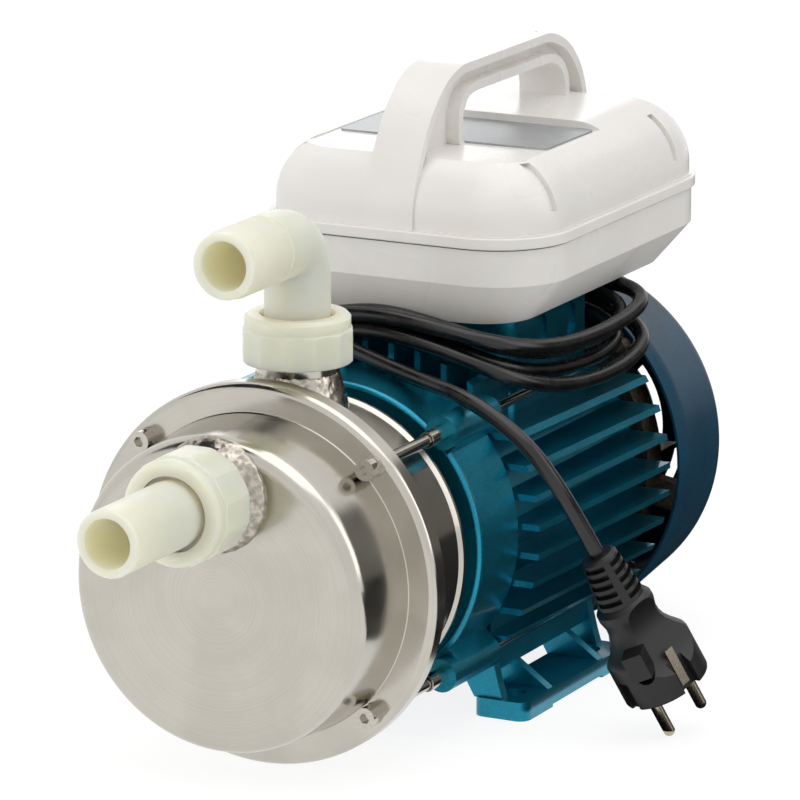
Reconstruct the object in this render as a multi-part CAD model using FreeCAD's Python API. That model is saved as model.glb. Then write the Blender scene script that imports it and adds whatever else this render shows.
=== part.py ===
import FreeCAD, Part
import math
import os

os.makedirs("parts", exist_ok=True)

V = FreeCAD.Vector
AXIS_X = V(1, 0, 0)
AXIS_Y = V(0, 1, 0)
AXIS_Z = V(0, 0, 1)

# Frame: +X right seen from the pump end, +Y from the pump end to the fan end, +Z up.
# The model is built about the shaft, with y = 0 in the plane of the casing joint.
# It is moved as it is written, so that the origin lies on the standing surface,
# in the middle of the four foot holes.
shaft_height = 80.0
foot_centre_from_joint = 147.0

# Pump casing, pressed from stainless sheet
sheet = 1.5
lid_front = 44.5
lid_radius = 64.0
lid_corner = 7.0
lid_root_radius = lid_radius + 2.0
flange_face_from_joint = 7.0
flange_radius = lid_root_radius + 12.3
flange_roll = 3.0
flange_lip_past_joint = 2.0
rear_casing_length = 48.8
rear_casing_radius = lid_radius - 1.6
rear_rim_stand_out = 1.2
gasket_thickness = 2.0
gasket_width = 3.2

# Screws that clamp the casing to the motor and rods that clamp the motor
bolt_circle = lid_root_radius + 5.5
bolt_angles = (45.0, 135.0, 225.0, 315.0)
screw_radius = 2.5
screw_thread_radius = 2.15
screw_head_radius = 4.25
screw_head_height = 5.5
screw_length = 74.0
screw_plain_length = 52.0
screw_socket_radius = 2.3
screw_socket_depth = 2.6
washer_radius = 4.6
washer_thickness = 1.5
sleeve_radius = 3.4
sleeve_length = 13.0
hole_clearance = 0.3
thread_clearance = 0.05

# Ports: one inch unions with hose tails for a 25 mm hose
stub_radius = 16.6
stub_bore = 13.0
thread_pitch = 2.3
thread_depth = 0.7
port_weld_radius = 23.2
port_weld_height = 3.5
outlet_weld_radius = 20.0
outlet_weld_height = 18.0
outlet_weld_sunk = 4.0
outlet_stub_sunk = 8.0
nut_radius = 22.4
nut_crown_radius = 21.4
nut_crown_height = 5.5
nut_crown_round = 1.4
nut_shoulder = 1.0
nut_lip = 3.0
nut_mouth_radius = 15.3
nut_flats = 12
nut_flat_depth = 0.55
nut_foot_chamfer = 0.7
nut_thread_clearance = 0.35
port_washer_thickness = 2.0
port_washer_bore = 11.0
tail_flange_thickness = 3.6
tail_flange_radius = 16.4
tail_radius = 13.6
tail_root_radius = 13.4
tail_root_from_nut = 0.9
tail_bore = 10.0
tail_tip_chamfer = 0.8
elbow_radius = 13.4
inlet_height = 42.0
inlet_nut_from_lid = 10.0
inlet_nut_length = 24.5
inlet_tail_reach = 49.0
outlet_station = 26.0
outlet_nut_bottom = 81.1
outlet_nut_length = 19.6
elbow_axis_height = 131.3
elbow_bend_radius = 14.5
elbow_reach = 61.0
barb_count = 7
barb_pitch = 4.3
barb_height = 0.7
barb_from_tip = 2.4

# Rotating group
shaft_radius = 8.5
shaft_front_radius = 7.0
shaft_rear_radius = 7.5
impeller_front = 4.0
impeller_length = 23.0
impeller_radius = rear_casing_radius - 7.4
impeller_eye_radius = 22.0
impeller_width = 9.0
impeller_ring_radius = 24.0
impeller_plate = 1.6
impeller_hub_radius = 13.0
blade_count = 6
blade_thickness = 1.8
blade_curve_radius = 38.0
impeller_nut_radius = 11.0
impeller_nut_length = 8.0
seal_seat_radius = 16.0
seal_seat_front = 37.0
seal_head_radius = 14.5
seal_gap = 0.1
diffuser_front = 3.0
diffuser_wall = 3.0
diffuser_throat_radius = 11.0
diffuser_clearance = 0.3

# Motor
motor_clearance = 0.05
fit_clearance = 0.02
shield_front = 59.3
shield_front_radius = rear_casing_radius
shield_rear = 94.2
shield_rear_radius = shield_front_radius + 2.8
shield_wall = 5.0
shield_front_wall = 5.0
ear_radius = 7.0
ear_front = 53.0
ear_grip = 22.0
hub_radius = 26.0
hub_depth = 20.0
hub_nose_radius = 22.0
hub_nose_bore = 18.0
spigot_length = 5.0
spigot_wall = 5.0
housing_rear = 218.0
barrel_radius = shield_front_radius - 2.4
stator_radius = barrel_radius - 5.0
stator_bore = 32.2
stator_length = 70.0
stator_front = 115.0
stator_slots = 24
stator_slot_depth = 9.0
stator_slot_width = 4.2
winding_clearance = 0.25
winding_radius = stator_radius - 9.0
winding_overhang = 14.5
air_gap = 0.5
rotor_ring = 5.0
rotor_shaft_radius = 10.5
fin_front = 96.0
fin_rear = 215.0
fin_front_radius = bolt_circle + 2.5
fin_rear_radius = bolt_circle + 6.5
fin_thickness = 2.6
fin_pitch = 12.2
side_fin_lowest = -45.2
side_fin_count = 8
upright_fin_pitch = 12.0
top_fin_count = 8
bottom_fin_count = 6
bottom_fin_tip = fin_front_radius
rear_shield_rear = 232.0
rear_shield_stand_out = 6.0
rear_shield_radius = barrel_radius + rear_shield_stand_out
rear_ear_radius = 4.3
rear_hub_radius = 23.5
rear_hub_rear = 236.0
rear_hub_bore = 10.0
rod_nut_height = 3.6
rod_nut_radius = 4.2
lug_width = 12.0
lug_angles = (-10.0, 80.0, 170.0, 260.0)
lug_bore_length = 10.0
slinger_radius = 15.0
slinger_front = 50.2
slinger_length = 4.4

# Ball bearings: bore, outside radius, width, ball radius and count
front_bearing = dict(bore=8.5, outer=20.0, width=12.0, ball=3.37, balls=8, front=66.0)
rear_bearing = dict(bore=7.5, outer=17.5, width=11.0, ball=2.97, balls=8, front=221.0)
race_thickness = 3.3
bearing_play = 0.03
cage_half_thickness = 0.7
cage_half_width = 4.3
wave_washer_thickness = 0.6

# Fan and its cover
fan_front = 240.0
fan_length = 22.0
fan_hub_radius = 16.0
fan_plate = 2.5
fan_blades = 8
fan_blade_thickness = 2.2
fan_blade_root = 12.0
cover_sheet = 1.2
cover_front = 225.0
cover_shoulder = 232.0
cover_shoulder_radius = bolt_circle + 7.2
cover_taper_end = 274.0
cover_front_radius = cover_shoulder_radius - 1.0
cover_taper_radius = cover_shoulder_radius - 4.1
fan_radius = cover_taper_radius - 14.6
cover_rear = 290.0
cover_rear_corner = 14.0
cover_bends = (0.0, 20.0, 12.0, cover_rear_corner, 40.0, 0.0)
cover_screw_angles = (80.0, 170.0, 260.0)
cover_screw_station = 228.5
cover_screw_hole = 2.6
cover_screw_grip = 7.0
cover_screw_cap = 2.0
cover_screw_seat = 0.1
grille_rings = 4
grille_slot = 4.0
grille_pitch = 10.5
grille_first = 16.0
grille_bridge = 6.0

# Feet
foot_length = 100.0
foot_outer = 67.5
foot_inner = 43.0
foot_thickness = 8.0
foot_hole_radius = 4.5
foot_hole_spacing_x = 112.0
foot_hole_spacing_y = 72.0
foot_skirt_outer = 50.5
foot_skirt_wall = 4.5
foot_skirt_bottom = -62.0
foot_skirt_top = -30.0
foot_root_x = 30.0
foot_root_z = -50.0
foot_ankle_z = -52.0
foot_toe_z = -66.0
foot_toe_out = 3.5
foot_plate_overlap = 0.5
foot_web = 4.5
foot_end_web = 5.0
foot_end_web_margin = 2.0
foot_gusset_station = 24.0
foot_gusset_top = -58.0
foot_pad_length = 26.0
foot_pad_lift = 1.2
foot_corner = 5.0

# Pedestal that carries the box, and the box
neck_half_width = 45.0
neck_front = 126.0
neck_rear = 205.0
neck_wall = 4.0
neck_corner = 8.0
slot_stations = (157.5, 185.0)
slot_half_width = 4.5
slot_half_height = 7.0
slot_depth = 1.5
slot_from_top = 11.5
box_floor = cover_shoulder_radius + 3.3
box_wall = 2.5
cover_wall = 3.2
box_front = 105.0
box_rear = 285.0
box_half_width = 66.0
box_corner = 32.0
base_bend_height = 99.0
base_floor_half_width = 52.5
base_floor_front = 111.0
base_floor_rear = 270.0
base_floor_corner = 22.0
seam_height = 114.0
seam_gap = 0.4
box_gasket_inset = 0.6
rim_height = 6.0
rim_step = 1.0
cover_top = 151.0
cover_round = 27.0
top_panel_half_width = 50.0
top_panel_front = 115.0
top_panel_rear = 202.0
panel_recess = 3.4
top_panel_height = cover_top - panel_recess
label_front = 154.0
label_thickness = 0.8
label_margin = 2.0
crescent_stations = (129.0, 246.0)
crescent_width = 4.5
crescent_depth = 2.0
crescent_low = 128.0
crescent_high = 147.0
crescent_inner_x = 20.0

# Handle, an arch in the plane of the shaft, moulded with the box cover
handle_half_width = 11.0
handle_top = 181.0
handle_recess = 6.0
handle_rim = 3.8
handle_cap_radius = 4.5
handle_cap_stations = (169.0, 234.0)
handle_cap_thickness = 0.8
handle_outer = (
    (104.6, 120.2), (105.4, 131.0), (110.5, 145.0), (121.0, 163.0),
    (136.0, 176.0), (150.0, 181.0), (237.0, 181.0), (254.0, 174.0),
    (266.0, 162.0), (271.5, 149.0), (271.5, 139.0),
)
handle_window = (
    (151.5, 146.0), (151.5, 160.0), (156.0, 166.4), (163.0, 168.0),
    (236.0, 168.0), (244.5, 165.0), (250.0, 158.0), (250.0, 146.0),
)
handle_largest_round = 60.0

# Things in the box
capacitor_radius = 17.0
capacitor_length = 50.0
capacitor_x = -24.0
capacitor_front = 141.0
terminal_size = (30.0, 14.0, 16.0)
terminal_place = (24.0, 150.0)
post_radius = 5.0
post_x = 38.0
post_stations = (119.0, 258.0)
cover_screw_radius = 2.0
cover_screw_root = cover_screw_radius - 0.3
cover_screw_head_radius = 3.6
cover_screw_head = 2.0
cover_screw_length = 44.0
box_screw_x = 36.0
box_screw_stations = (135.0, 196.0)
box_screw_radius = 2.5
box_screw_root = box_screw_radius - 0.35
box_screw_boss = 6.0
box_screw_bore = 14.0
box_screw_head_radius = 4.25
box_screw_head = 4.0
box_screw_length = 16.0
wire_hole_radius = 8.0
wire_hole_station = 165.0

# Rocker switch in the rear wall of the box base
switch_half_width = 10.5
switch_half_height = 6.9
switch_height = 106.3
switch_frame_rim = 1.6
switch_frame_wall = 1.2
switch_frame_thickness = 1.6
switch_depth = 16.0
rocker_clearance = 0.35
rocker_angle = 9.0
rocker_stand_out = 3.2
rocker_pivot_depth = 3.0
rocker_pivot_radius = 1.2
rocker_pin_clearance = 0.05

# Mains lead and plug
cord_radius = 3.3
coil_bundle_radius = 7.2
gland_station = 190.0
gland_reach = 20.0
gland_inside = 6.0
gland_radius = 5.6
gland_collar_radius = 8.0
gland_collar = 4.0
gland_end_radius = 4.4
feed_points = (
    (-75.0, 190.0, 78.0), (-83.2, 190.0, 71.5), (-88.5, 182.5, 64.0), (-88.0, 169.5, 58.8),
    (-81.0, 157.0, 57.0), (-71.0, 146.0, 58.5), (-62.0, 137.0, 62.0),
)
coil_points = (
    (0.0, 97.0, 82.9), (26.0, 97.5, 79.0), (45.0, 103.0, 73.0), (56.0, 118.0, 67.0),
    (60.0, 140.0, 63.0), (62.0, 165.0, 61.0), (62.5, 190.0, 61.0), (60.0, 207.0, 64.0),
    (47.0, 214.0, 70.5), (25.0, 214.0, 73.5), (0.0, 213.5, 74.0), (-25.0, 214.0, 73.5),
    (-46.0, 212.0, 70.5), (-57.0, 202.0, 65.5), (-60.0, 184.0, 62.5), (-59.0, 160.0, 62.0),
    (-58.0, 135.0, 64.5), (-53.0, 114.0, 69.0), (-41.0, 101.0, 74.5), (-22.0, 97.0, 80.0),
)
lead_points = (
    (-24.0, 92.0, 77.0), (-11.0, 89.0, 72.2), (5.9, 83.5, 69.1), (27.9, 78.0, 65.0),
    (51.5, 68.5, 63.0), (66.8, 67.0, 56.7), (83.9, 65.0, 46.3), (93.7, 70.0, 31.0),
    (99.6, 81.7, 11.3), (104.3, 86.4, -1.0),
)
plug_start = (104.3, 86.4, -1.0)
plug_axis = (0.335, 0.335, -0.881)
plug_pin_line = (0.364, 0.816, 0.449)
boot_length = 22.0
boot_radius = 7.8
boot_end_radius = 10.1
boot_rib_count = 5
boot_rib = 2.0
boot_groove_depth = 1.6
plug_body_length = 43.0
plug_neck_radius = 10.6
plug_shoulder = 3.0
plug_shoulder_end = 5.5
plug_shoulder_radius = 12.3
plug_waist = 10.0
plug_waist_end = 14.0
plug_waist_radius = 11.2
plug_flare_radius = 16.5
plug_flare = 3.0
plug_face_radius = 18.5
plug_face_length = 20.5
plug_edge = 0.8
plug_clip_floor = 14.0
clip_groove_half_width = 4.6
guide_notch_half_width = 3.0
guide_notch_depth = 2.4
guide_notch_length = 13.0
pin_radius = 2.4
pin_root_radius = 1.9
pin_neck = 0.3
pin_length = 19.0
pin_inside = 8.0
pin_spacing = 19.0
clip_width = 4.0
clip_thickness = 1.0
clip_length = 17.0
clip_sunk = 0.4
clip_from_face = 2.0


def export(name, shape):
    """Move a piece from the shaft frame to the part frame and write it."""
    placed = shape.copy()
    placed.translate(V(0, -foot_centre_from_joint, shaft_height))
    placed.exportStep("parts/" + name + ".step")


def compound(shapes):
    return Part.makeCompound(shapes)


def fuse_all(shapes):
    """Join overlapping solids into one."""
    body = shapes[0]
    if len(shapes) > 1:
        body = body.fuse(shapes[1:])
    return body.removeSplitter()


def rod(radius, y0, y1, x=0.0, z=0.0):
    """Cylinder along Y."""
    return Part.makeCylinder(radius, y1 - y0, V(x, y0, z), AXIS_Y)


def ring(outer, inner, y0, y1, x=0.0, z=0.0):
    """Tube along Y."""
    return rod(outer, y0, y1, x, z).cut(rod(inner, y0 - 1, y1 + 1, x, z))


def post(radius, z0, z1, x=0.0, y=0.0):
    """Cylinder along Z."""
    return Part.makeCylinder(radius, z1 - z0, V(x, y, z0), AXIS_Z)


def block(x0, x1, y0, y1, z0, z1):
    return Part.makeBox(x1 - x0, y1 - y0, z1 - z0, V(x0, y0, z0))


def rounded_block(x0, x1, y0, y1, z0, z1, corner):
    """Block with rounded vertical edges."""
    body = block(x0, x1, y0, y1, z0, z1)
    upright = [e for e in body.Edges if abs(e.tangentAt(e.FirstParameter).z) > 0.99]
    return body.makeFillet(corner, upright)


def revolved(points):
    """Turn a closed outline of (y, radius) points about the shaft axis."""
    outline = Part.makePolygon([V(0, y, r) for y, r in points + points[:1]])
    return Part.Face(outline).revolve(V(0, 0, 0), AXIS_Y, 360)


def rounded_route(points, radii, closed=False):
    """Straight runs joined by tangent arcs, one radius for each turned point."""
    count = len(points)
    turned = range(count) if closed else range(1, count - 1)
    arcs = {}
    for i in turned:
        before, here, after = points[i - 1], points[i], points[(i + 1) % count]
        into = (here - before).normalize()
        out = (after - here).normalize()
        half = into.getAngle(out) / 2
        if half < 1e-4:
            continue
        reach = radii[i] * math.tan(half)
        inward = (out - into).normalize()
        centre = here + inward * (radii[i] / math.cos(half))
        arcs[i] = (here - into * reach, centre - inward * radii[i], here + out * reach)
    edges = []
    for i in range(count if closed else count - 1):
        j = (i + 1) % count
        start = arcs[i][2] if i in arcs else points[i]
        end = arcs[j][0] if j in arcs else points[j]
        if (end - start).Length > 1e-6:
            edges.append(Part.LineSegment(start, end).toShape())
        if j in arcs:
            edges.append(Part.Arc(*arcs[j]).toShape())
    return Part.Wire(edges)


def soft_radii(points, closed=False):
    """Arc radius at each point of a cord: as large as its two runs allow."""
    count = len(points)
    radii = [0.0] * count
    for i in range(count) if closed else range(1, count - 1):
        into = points[i] - points[i - 1]
        out = points[(i + 1) % count] - points[i]
        half = into.getAngle(out) / 2
        radii[i] = 0.45 * min(into.Length, out.Length) / math.tan(half)
    return radii


def tube_along(edges, radius):
    """Round bar along a smooth chain of edges."""
    start = edges[0].valueAt(edges[0].FirstParameter)
    along = edges[0].tangentAt(edges[0].FirstParameter)
    section = Part.Wire(Part.Circle(start, along, radius).toShape())
    return Part.Wire(edges).makePipeShell([section], True, False, 2)


def swept(points, radius, closed=False):
    """Round tube along a cord's route, and its radii and length for the printout."""
    path_points = [V(*p) for p in points]
    radii = soft_radii(path_points, closed)
    edges = rounded_route(path_points, radii, closed).Edges
    if closed:
        half = len(edges) // 2
        tube = fuse_all([tube_along(edges[:half], radius), tube_along(edges[half:], radius)])
    else:
        tube = tube_along(edges, radius)
    length = sum(edge.Length for edge in edges)
    expected = math.pi * radius ** 2 * length
    used = [r for r in radii if r > 0]
    print("cord run", round(length, 1), "tightest", round(min(used), 1),
          "volume ratio", round(tube.Volume / expected, 4), "valid", tube.isValid())
    return tube


def sheet_turned(points, radii, thickness):
    """Sheet shell turned about the shaft: the outline is its outer face, walked
    from the front with the metal on the axis side."""
    outer = [V(0, y, r) for y, r in points]
    inner = []
    for i, here in enumerate(outer):
        into = (here - outer[i - 1]).normalize() if i else None
        out = (outer[i + 1] - here).normalize() if i < len(outer) - 1 else None
        if into is None:
            inner.append(here + V(0, out.z, -out.y) * thickness)
        elif out is None:
            inner.append(here + V(0, into.z, -into.y) * thickness)
        else:
            side_in, side_out = V(0, into.z, -into.y), V(0, out.z, -out.y)
            bisector = (side_in + side_out).normalize()
            inner.append(here + bisector * (thickness / bisector.dot(side_in)))
    inner_radii = []
    for i, radius in enumerate(radii):
        if radius == 0.0:
            inner_radii.append(0.0)
            continue
        into, out = outer[i] - outer[i - 1], outer[i + 1] - outer[i]
        towards_axis = into.cross(out).x < 0
        inner_radii.append(radius - thickness if towards_axis else radius + thickness)
    outer_wire = rounded_route(outer, radii)
    inner_wire = rounded_route(inner, inner_radii)
    ends = [Part.LineSegment(outer[0], inner[0]).toShape(),
            Part.LineSegment(outer[-1], inner[-1]).toShape()]
    outline = Part.Wire(Part.__sortEdges__(outer_wire.Edges + inner_wire.Edges + ends))
    return Part.Face(outline).revolve(V(0, 0, 0), AXIS_Y, 360)


def on_bolt_circle(shape_at):
    """One copy of a piece at each of the four clamping screws."""
    copies = []
    for angle in bolt_angles:
        a = math.radians(angle)
        copies.append(shape_at(bolt_circle * math.cos(a), bolt_circle * math.sin(a)))
    return copies


# Values that follow from the sizes above
flange_face = -flange_face_from_joint
front_flange_back = flange_face + sheet
rear_flange_front = front_flange_back + gasket_thickness
rear_flange_back = rear_flange_front + sheet
rear_flange_radius = flange_radius - sheet - 0.8
back_plate_front = rear_casing_length - sheet
screw_hole_radius = screw_radius + hole_clearance
head_seat = flange_face - washer_thickness
tail_stack = nut_lip + tail_flange_thickness + port_washer_thickness
inlet_nut_front = -lid_front - inlet_nut_from_lid - inlet_nut_length
inlet_tip = inlet_nut_front - inlet_tail_reach
outlet_nut_top = outlet_nut_bottom + outlet_nut_length
outlet_tip = outlet_station - elbow_reach
impeller_rear = impeller_front + impeller_length
impeller_bore = shaft_front_radius + fit_clearance
shaft_front = impeller_front - impeller_nut_length - 2.0
shaft_rear = fan_front + fan_length + 2.0
housing_front = shield_rear
barrel_bore = stator_radius + motor_clearance
stator_rear = stator_front + stator_length
fan_bore = shaft_rear_radius + fit_clearance
floor_z = -shaft_height
foot_top = floor_z + foot_thickness
box_floor_top = box_floor + box_wall
cover_bottom = seam_height + seam_gap
rim_top = seam_height + rim_height


# Pump casing
def front_casing():
    """Pressed lid: a disc, a drum wall, a flange and a lip round the joint."""
    points = [
        (-lid_front, 0.0), (-lid_front, lid_radius), (flange_face - 5.0, lid_root_radius),
        (flange_face, lid_root_radius + 0.4), (flange_face, flange_radius),
        (flange_lip_past_joint, flange_radius),
    ]
    shell = sheet_turned(points, [0.0, lid_corner, 3.0, 0.5, flange_roll, 0.0], sheet)
    port = rod(stub_radius + fit_clearance, -lid_front - 5, -lid_front + 5, 0, inlet_height)
    return shell.cut(screw_holes() + [port])


def rear_casing():
    """Cup with an outward flange, a wall, a stood out rim and a back plate."""
    wall_in = rear_casing_radius - sheet
    rim = rear_casing_radius + rear_rim_stand_out
    shaft_hole = shaft_radius + 4.0
    cup = revolved([
        (rear_flange_front, wall_in), (rear_flange_front, rear_flange_radius),
        (rear_flange_back, rear_flange_radius), (rear_flange_back, rear_casing_radius),
        (back_plate_front - 2.0, rear_casing_radius), (back_plate_front, rim),
        (rear_casing_length, rim), (rear_casing_length, shaft_hole),
        (back_plate_front, shaft_hole), (back_plate_front, wall_in),
    ])
    pocket_bore = seal_seat_radius + hole_clearance
    pocket = ring(pocket_bore + sheet, pocket_bore, seal_seat_front + 2.0, back_plate_front + 0.5)
    outlet = post(stub_bore, impeller_radius, flange_radius, 0, outlet_station)
    return fuse_all([cup, pocket]).cut(screw_holes() + [outlet])


def screw_holes():
    """Clearance holes through both flanges."""
    return on_bolt_circle(lambda x, z: rod(screw_hole_radius, flange_face - 5, 10, x, z))


def casing_gasket():
    outer = bolt_circle - screw_hole_radius - 0.4
    return ring(outer, outer - gasket_width, front_flange_back, rear_flange_front)


# Ports: each stub, washer, tail and nut is built standing up, mouth at the top
def facing_front(shape, y, z):
    """Lay an upright port piece down so that its top points to -Y."""
    laid = shape.copy()
    laid.rotate(V(0, 0, 0), AXIS_X, 90)
    laid.translate(V(0, y, z))
    return laid


def threaded_stub(length, plain):
    """Pipe stub with a threaded end above its plain part."""
    stub = post(stub_radius, 0, length)
    crest = thread_pitch / 2
    count = int((length - plain) / thread_pitch)
    cuts = []
    for i in range(count):
        low = plain + i * thread_pitch
        cuts.append(post(stub_radius + 1, low, low + crest).cut(
            post(stub_radius - thread_depth, low - 1, low + crest + 1)))
    return stub.cut(cuts)


def union_nut(length):
    """Nut on its open end: a grip with flats, a round crown and a lip round its mouth."""
    crown = length - nut_crown_height
    body = cones([
        (0.0, nut_radius - nut_foot_chamfer), (nut_foot_chamfer, nut_radius),
        (crown - nut_shoulder, nut_radius), (crown, nut_crown_radius),
        (length - nut_crown_round, nut_crown_radius), (length, nut_crown_radius - nut_crown_round),
    ])
    flats = []
    for i in range(nut_flats):
        flat = block(nut_radius - nut_flat_depth, nut_radius + 1, -nut_radius, nut_radius,
                     -1, crown)
        flat.rotate(V(0, 0, 0), AXIS_Z, 360.0 * i / nut_flats)
        flats.append(flat)
    bore = post(stub_radius + nut_thread_clearance, -1, length - nut_lip)
    mouth = post(nut_mouth_radius, 0, length + 1)
    return body.cut(flats + [bore, mouth])


def port_washer():
    return post(tail_flange_radius, 0, port_washer_thickness).cut(
        post(port_washer_bore, -1, port_washer_thickness + 1))


def inlet_stub():
    top = -lid_front - inlet_nut_front - tail_stack
    stub = threaded_stub(top, port_weld_height)
    inside = post(stub_radius, -sheet, 0.5)
    weld = Part.makeCone(port_weld_radius, stub_radius + 0.6, port_weld_height)
    body = fuse_all([stub, inside, weld]).cut(post(stub_bore, -sheet - 1, top + 1))
    return facing_front(body, -lid_front, inlet_height)


def inlet_washer():
    y = inlet_nut_front + tail_stack
    return facing_front(port_washer(), y, inlet_height)


def inlet_tail():
    """Plain hose tail with the flange that the nut draws against the stub."""
    flange_front = inlet_nut_front + nut_lip
    flange_back = flange_front + tail_flange_thickness
    root_front = inlet_nut_front - tail_root_from_nut
    pipe = rod(tail_radius, inlet_tip, root_front, 0, inlet_height)
    tip_edges = [e for e in pipe.Edges
                 if e.isClosed() and abs(e.CenterOfMass.y - inlet_tip) < 0.01]
    pipe = pipe.makeChamfer(tail_tip_chamfer, tip_edges)
    root = rod(tail_root_radius, root_front, flange_back, 0, inlet_height)
    flange = rod(tail_flange_radius, flange_front, flange_back, 0, inlet_height)
    bore = rod(tail_bore, inlet_tip - 1, flange_back + 1, 0, inlet_height)
    return fuse_all([pipe, root, flange]).cut(bore)


def inlet_nut():
    nut = facing_front(union_nut(inlet_nut_length), 0, inlet_height)
    nut.translate(V(0, inlet_nut_front + inlet_nut_length, 0))
    return nut


def outlet_stub():
    """Stub welded on top of the rear casing, saddle cut to its curve."""
    foot = rear_casing_radius - outlet_stub_sunk
    top = outlet_nut_top - tail_stack
    stub = threaded_stub(top - foot, outlet_nut_bottom - foot)
    stub.translate(V(0, outlet_station, foot))
    weld = Part.makeCone(outlet_weld_radius, stub_radius, outlet_weld_height,
                         V(0, outlet_station, rear_casing_radius - outlet_weld_sunk), AXIS_Z)
    bore = post(stub_bore, foot - 1, top + 1, 0, outlet_station)
    saddle = rod(rear_casing_radius, -lid_front, shield_rear)
    return fuse_all([stub, weld]).cut([bore, saddle])


def outlet_washer():
    washer = port_washer()
    washer.translate(V(0, outlet_station, outlet_nut_top - tail_stack))
    return washer


def outlet_nut():
    nut = union_nut(outlet_nut_length)
    nut.translate(V(0, outlet_station, outlet_nut_bottom))
    return nut


def elbow_sweep(radius):
    """Round bar up from the nut and round the bend to the tip."""
    low = outlet_nut_top - nut_lip - tail_flange_thickness
    bend_low = elbow_axis_height - elbow_bend_radius
    bend_front = outlet_station - elbow_bend_radius
    reach = elbow_bend_radius * (1 - math.cos(math.pi / 4))
    middle = V(0, outlet_station - reach, elbow_axis_height - reach)
    start = V(0, outlet_station, low)
    route = Part.Wire([
        Part.LineSegment(start, V(0, outlet_station, bend_low)).toShape(),
        Part.Arc(V(0, outlet_station, bend_low), middle,
                 V(0, bend_front, elbow_axis_height)).toShape(),
        Part.LineSegment(V(0, bend_front, elbow_axis_height),
                         V(0, outlet_tip, elbow_axis_height)).toShape(),
    ])
    section = Part.Wire(Part.Circle(start, AXIS_Z, radius).toShape())
    return route.makePipeShell([section], True, False, 2)


def outlet_elbow():
    """Barbed hose tail on a right angled bend, with its flange."""
    low = outlet_nut_top - nut_lip - tail_flange_thickness
    flange = post(tail_flange_radius, low, low + tail_flange_thickness, 0, outlet_station)
    pieces = [elbow_sweep(elbow_radius), flange]
    for i in range(barb_count):
        start = outlet_tip + barb_from_tip + i * barb_pitch
        pieces.append(Part.makeCone(elbow_radius, elbow_radius + barb_height, barb_pitch * 0.75,
                                    V(0, start, elbow_axis_height), AXIS_Y))
    smooth = outlet_tip + barb_from_tip + barb_count * barb_pitch
    pieces.append(rod(elbow_radius + barb_height, smooth, outlet_station - elbow_bend_radius,
                      0, elbow_axis_height))
    return fuse_all(pieces).cut(elbow_sweep(tail_bore))


# Clamping screws, and the rods that hold the motor together
def flange_screws():
    def screw(x, z):
        shoulder = head_seat + screw_plain_length
        body = fuse_all([
            rod(screw_head_radius, head_seat - screw_head_height, head_seat, x, z),
            rod(screw_radius, head_seat - 1, shoulder, x, z),
            rod(screw_thread_radius, shoulder - 1, head_seat + screw_length, x, z),
        ])
        socket = hexagon(screw_socket_radius, head_seat - screw_head_height - 1,
                         head_seat - screw_head_height + screw_socket_depth, x, z)
        return body.cut(socket)
    return compound(on_bolt_circle(screw))


def hexagon(radius, y0, y1, x=0.0, z=0.0):
    """Six sided bar along Y, by the radius of its corners."""
    corners = []
    for i in range(7):
        a = math.radians(60 * i)
        corners.append(V(x + radius * math.cos(a), y0, z + radius * math.sin(a)))
    return Part.Face(Part.makePolygon(corners)).extrude(V(0, y1 - y0, 0))


def screw_washers():
    return compound(on_bolt_circle(
        lambda x, z: ring(washer_radius, screw_hole_radius, head_seat, flange_face, x, z)))


def spacer_sleeves():
    return compound(on_bolt_circle(
        lambda x, z: ring(sleeve_radius, screw_hole_radius, ear_front - sleeve_length,
                          ear_front, x, z)))


def tie_rods():
    front = shield_rear - ear_grip
    rear = rear_shield_rear + rod_nut_height + 1.0
    return compound(on_bolt_circle(lambda x, z: rod(screw_thread_radius, front, rear, x, z)))


def tie_rod_nuts():
    def nut(x, z):
        body = hexagon(rod_nut_radius, rear_shield_rear, rear_shield_rear + rod_nut_height, x, z)
        bore = screw_thread_radius + thread_clearance
        return body.cut(rod(bore, rear_shield_rear - 1, rear_shield_rear + rod_nut_height + 1, x, z))
    return compound(on_bolt_circle(nut))


# Pump inside
def diffuser():
    """Shroud round the impeller, with a throat under the outlet."""
    radius = rear_casing_radius - sheet - diffuser_clearance
    eye = impeller_ring_radius + diffuser_clearance
    shell = revolved([
        (diffuser_front, eye), (diffuser_front, radius), (back_plate_front, radius),
        (back_plate_front, radius - diffuser_wall),
        (diffuser_front + diffuser_wall, radius - diffuser_wall),
        (diffuser_front + diffuser_wall, eye),
    ])
    return shell.cut(post(diffuser_throat_radius, radius - 15, radius + 5, 0, outlet_station))


def impeller():
    """Closed wheel: hub, back plate, front plate with its ring, curved blades."""
    shroud_front = impeller_rear - impeller_width
    shroud_back = shroud_front + impeller_plate
    back_front = impeller_rear - impeller_plate
    pieces = [
        rod(impeller_hub_radius, impeller_front, impeller_rear),
        rod(impeller_radius, back_front, impeller_rear),
        ring(impeller_radius, impeller_eye_radius, shroud_front, shroud_back),
        ring(impeller_ring_radius, impeller_eye_radius, impeller_front, shroud_back),
    ]
    half = blade_thickness / 2
    offset = blade_curve_radius - impeller_hub_radius + 5.0
    arc = ring(blade_curve_radius + half, blade_curve_radius - half,
               shroud_back - 0.5, back_front + 0.5, offset)
    reach = rod(impeller_radius - 0.5, shroud_front, impeller_rear)
    above = block(-impeller_radius, impeller_radius, shroud_front, impeller_rear, 0,
                  impeller_radius)
    blade = arc.common(reach).common(above)
    pieces += [turned(blade, 360.0 * i / blade_count) for i in range(blade_count)]
    bore = rod(impeller_bore, impeller_front - 1, impeller_rear + 1)
    return fuse_all(pieces).cut(bore)


def turned(shape, angle):
    """Copy turned about the shaft axis, from +X towards +Z."""
    copy = shape.copy()
    copy.rotate(V(0, 0, 0), AXIS_Y, -angle)
    return copy


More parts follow.
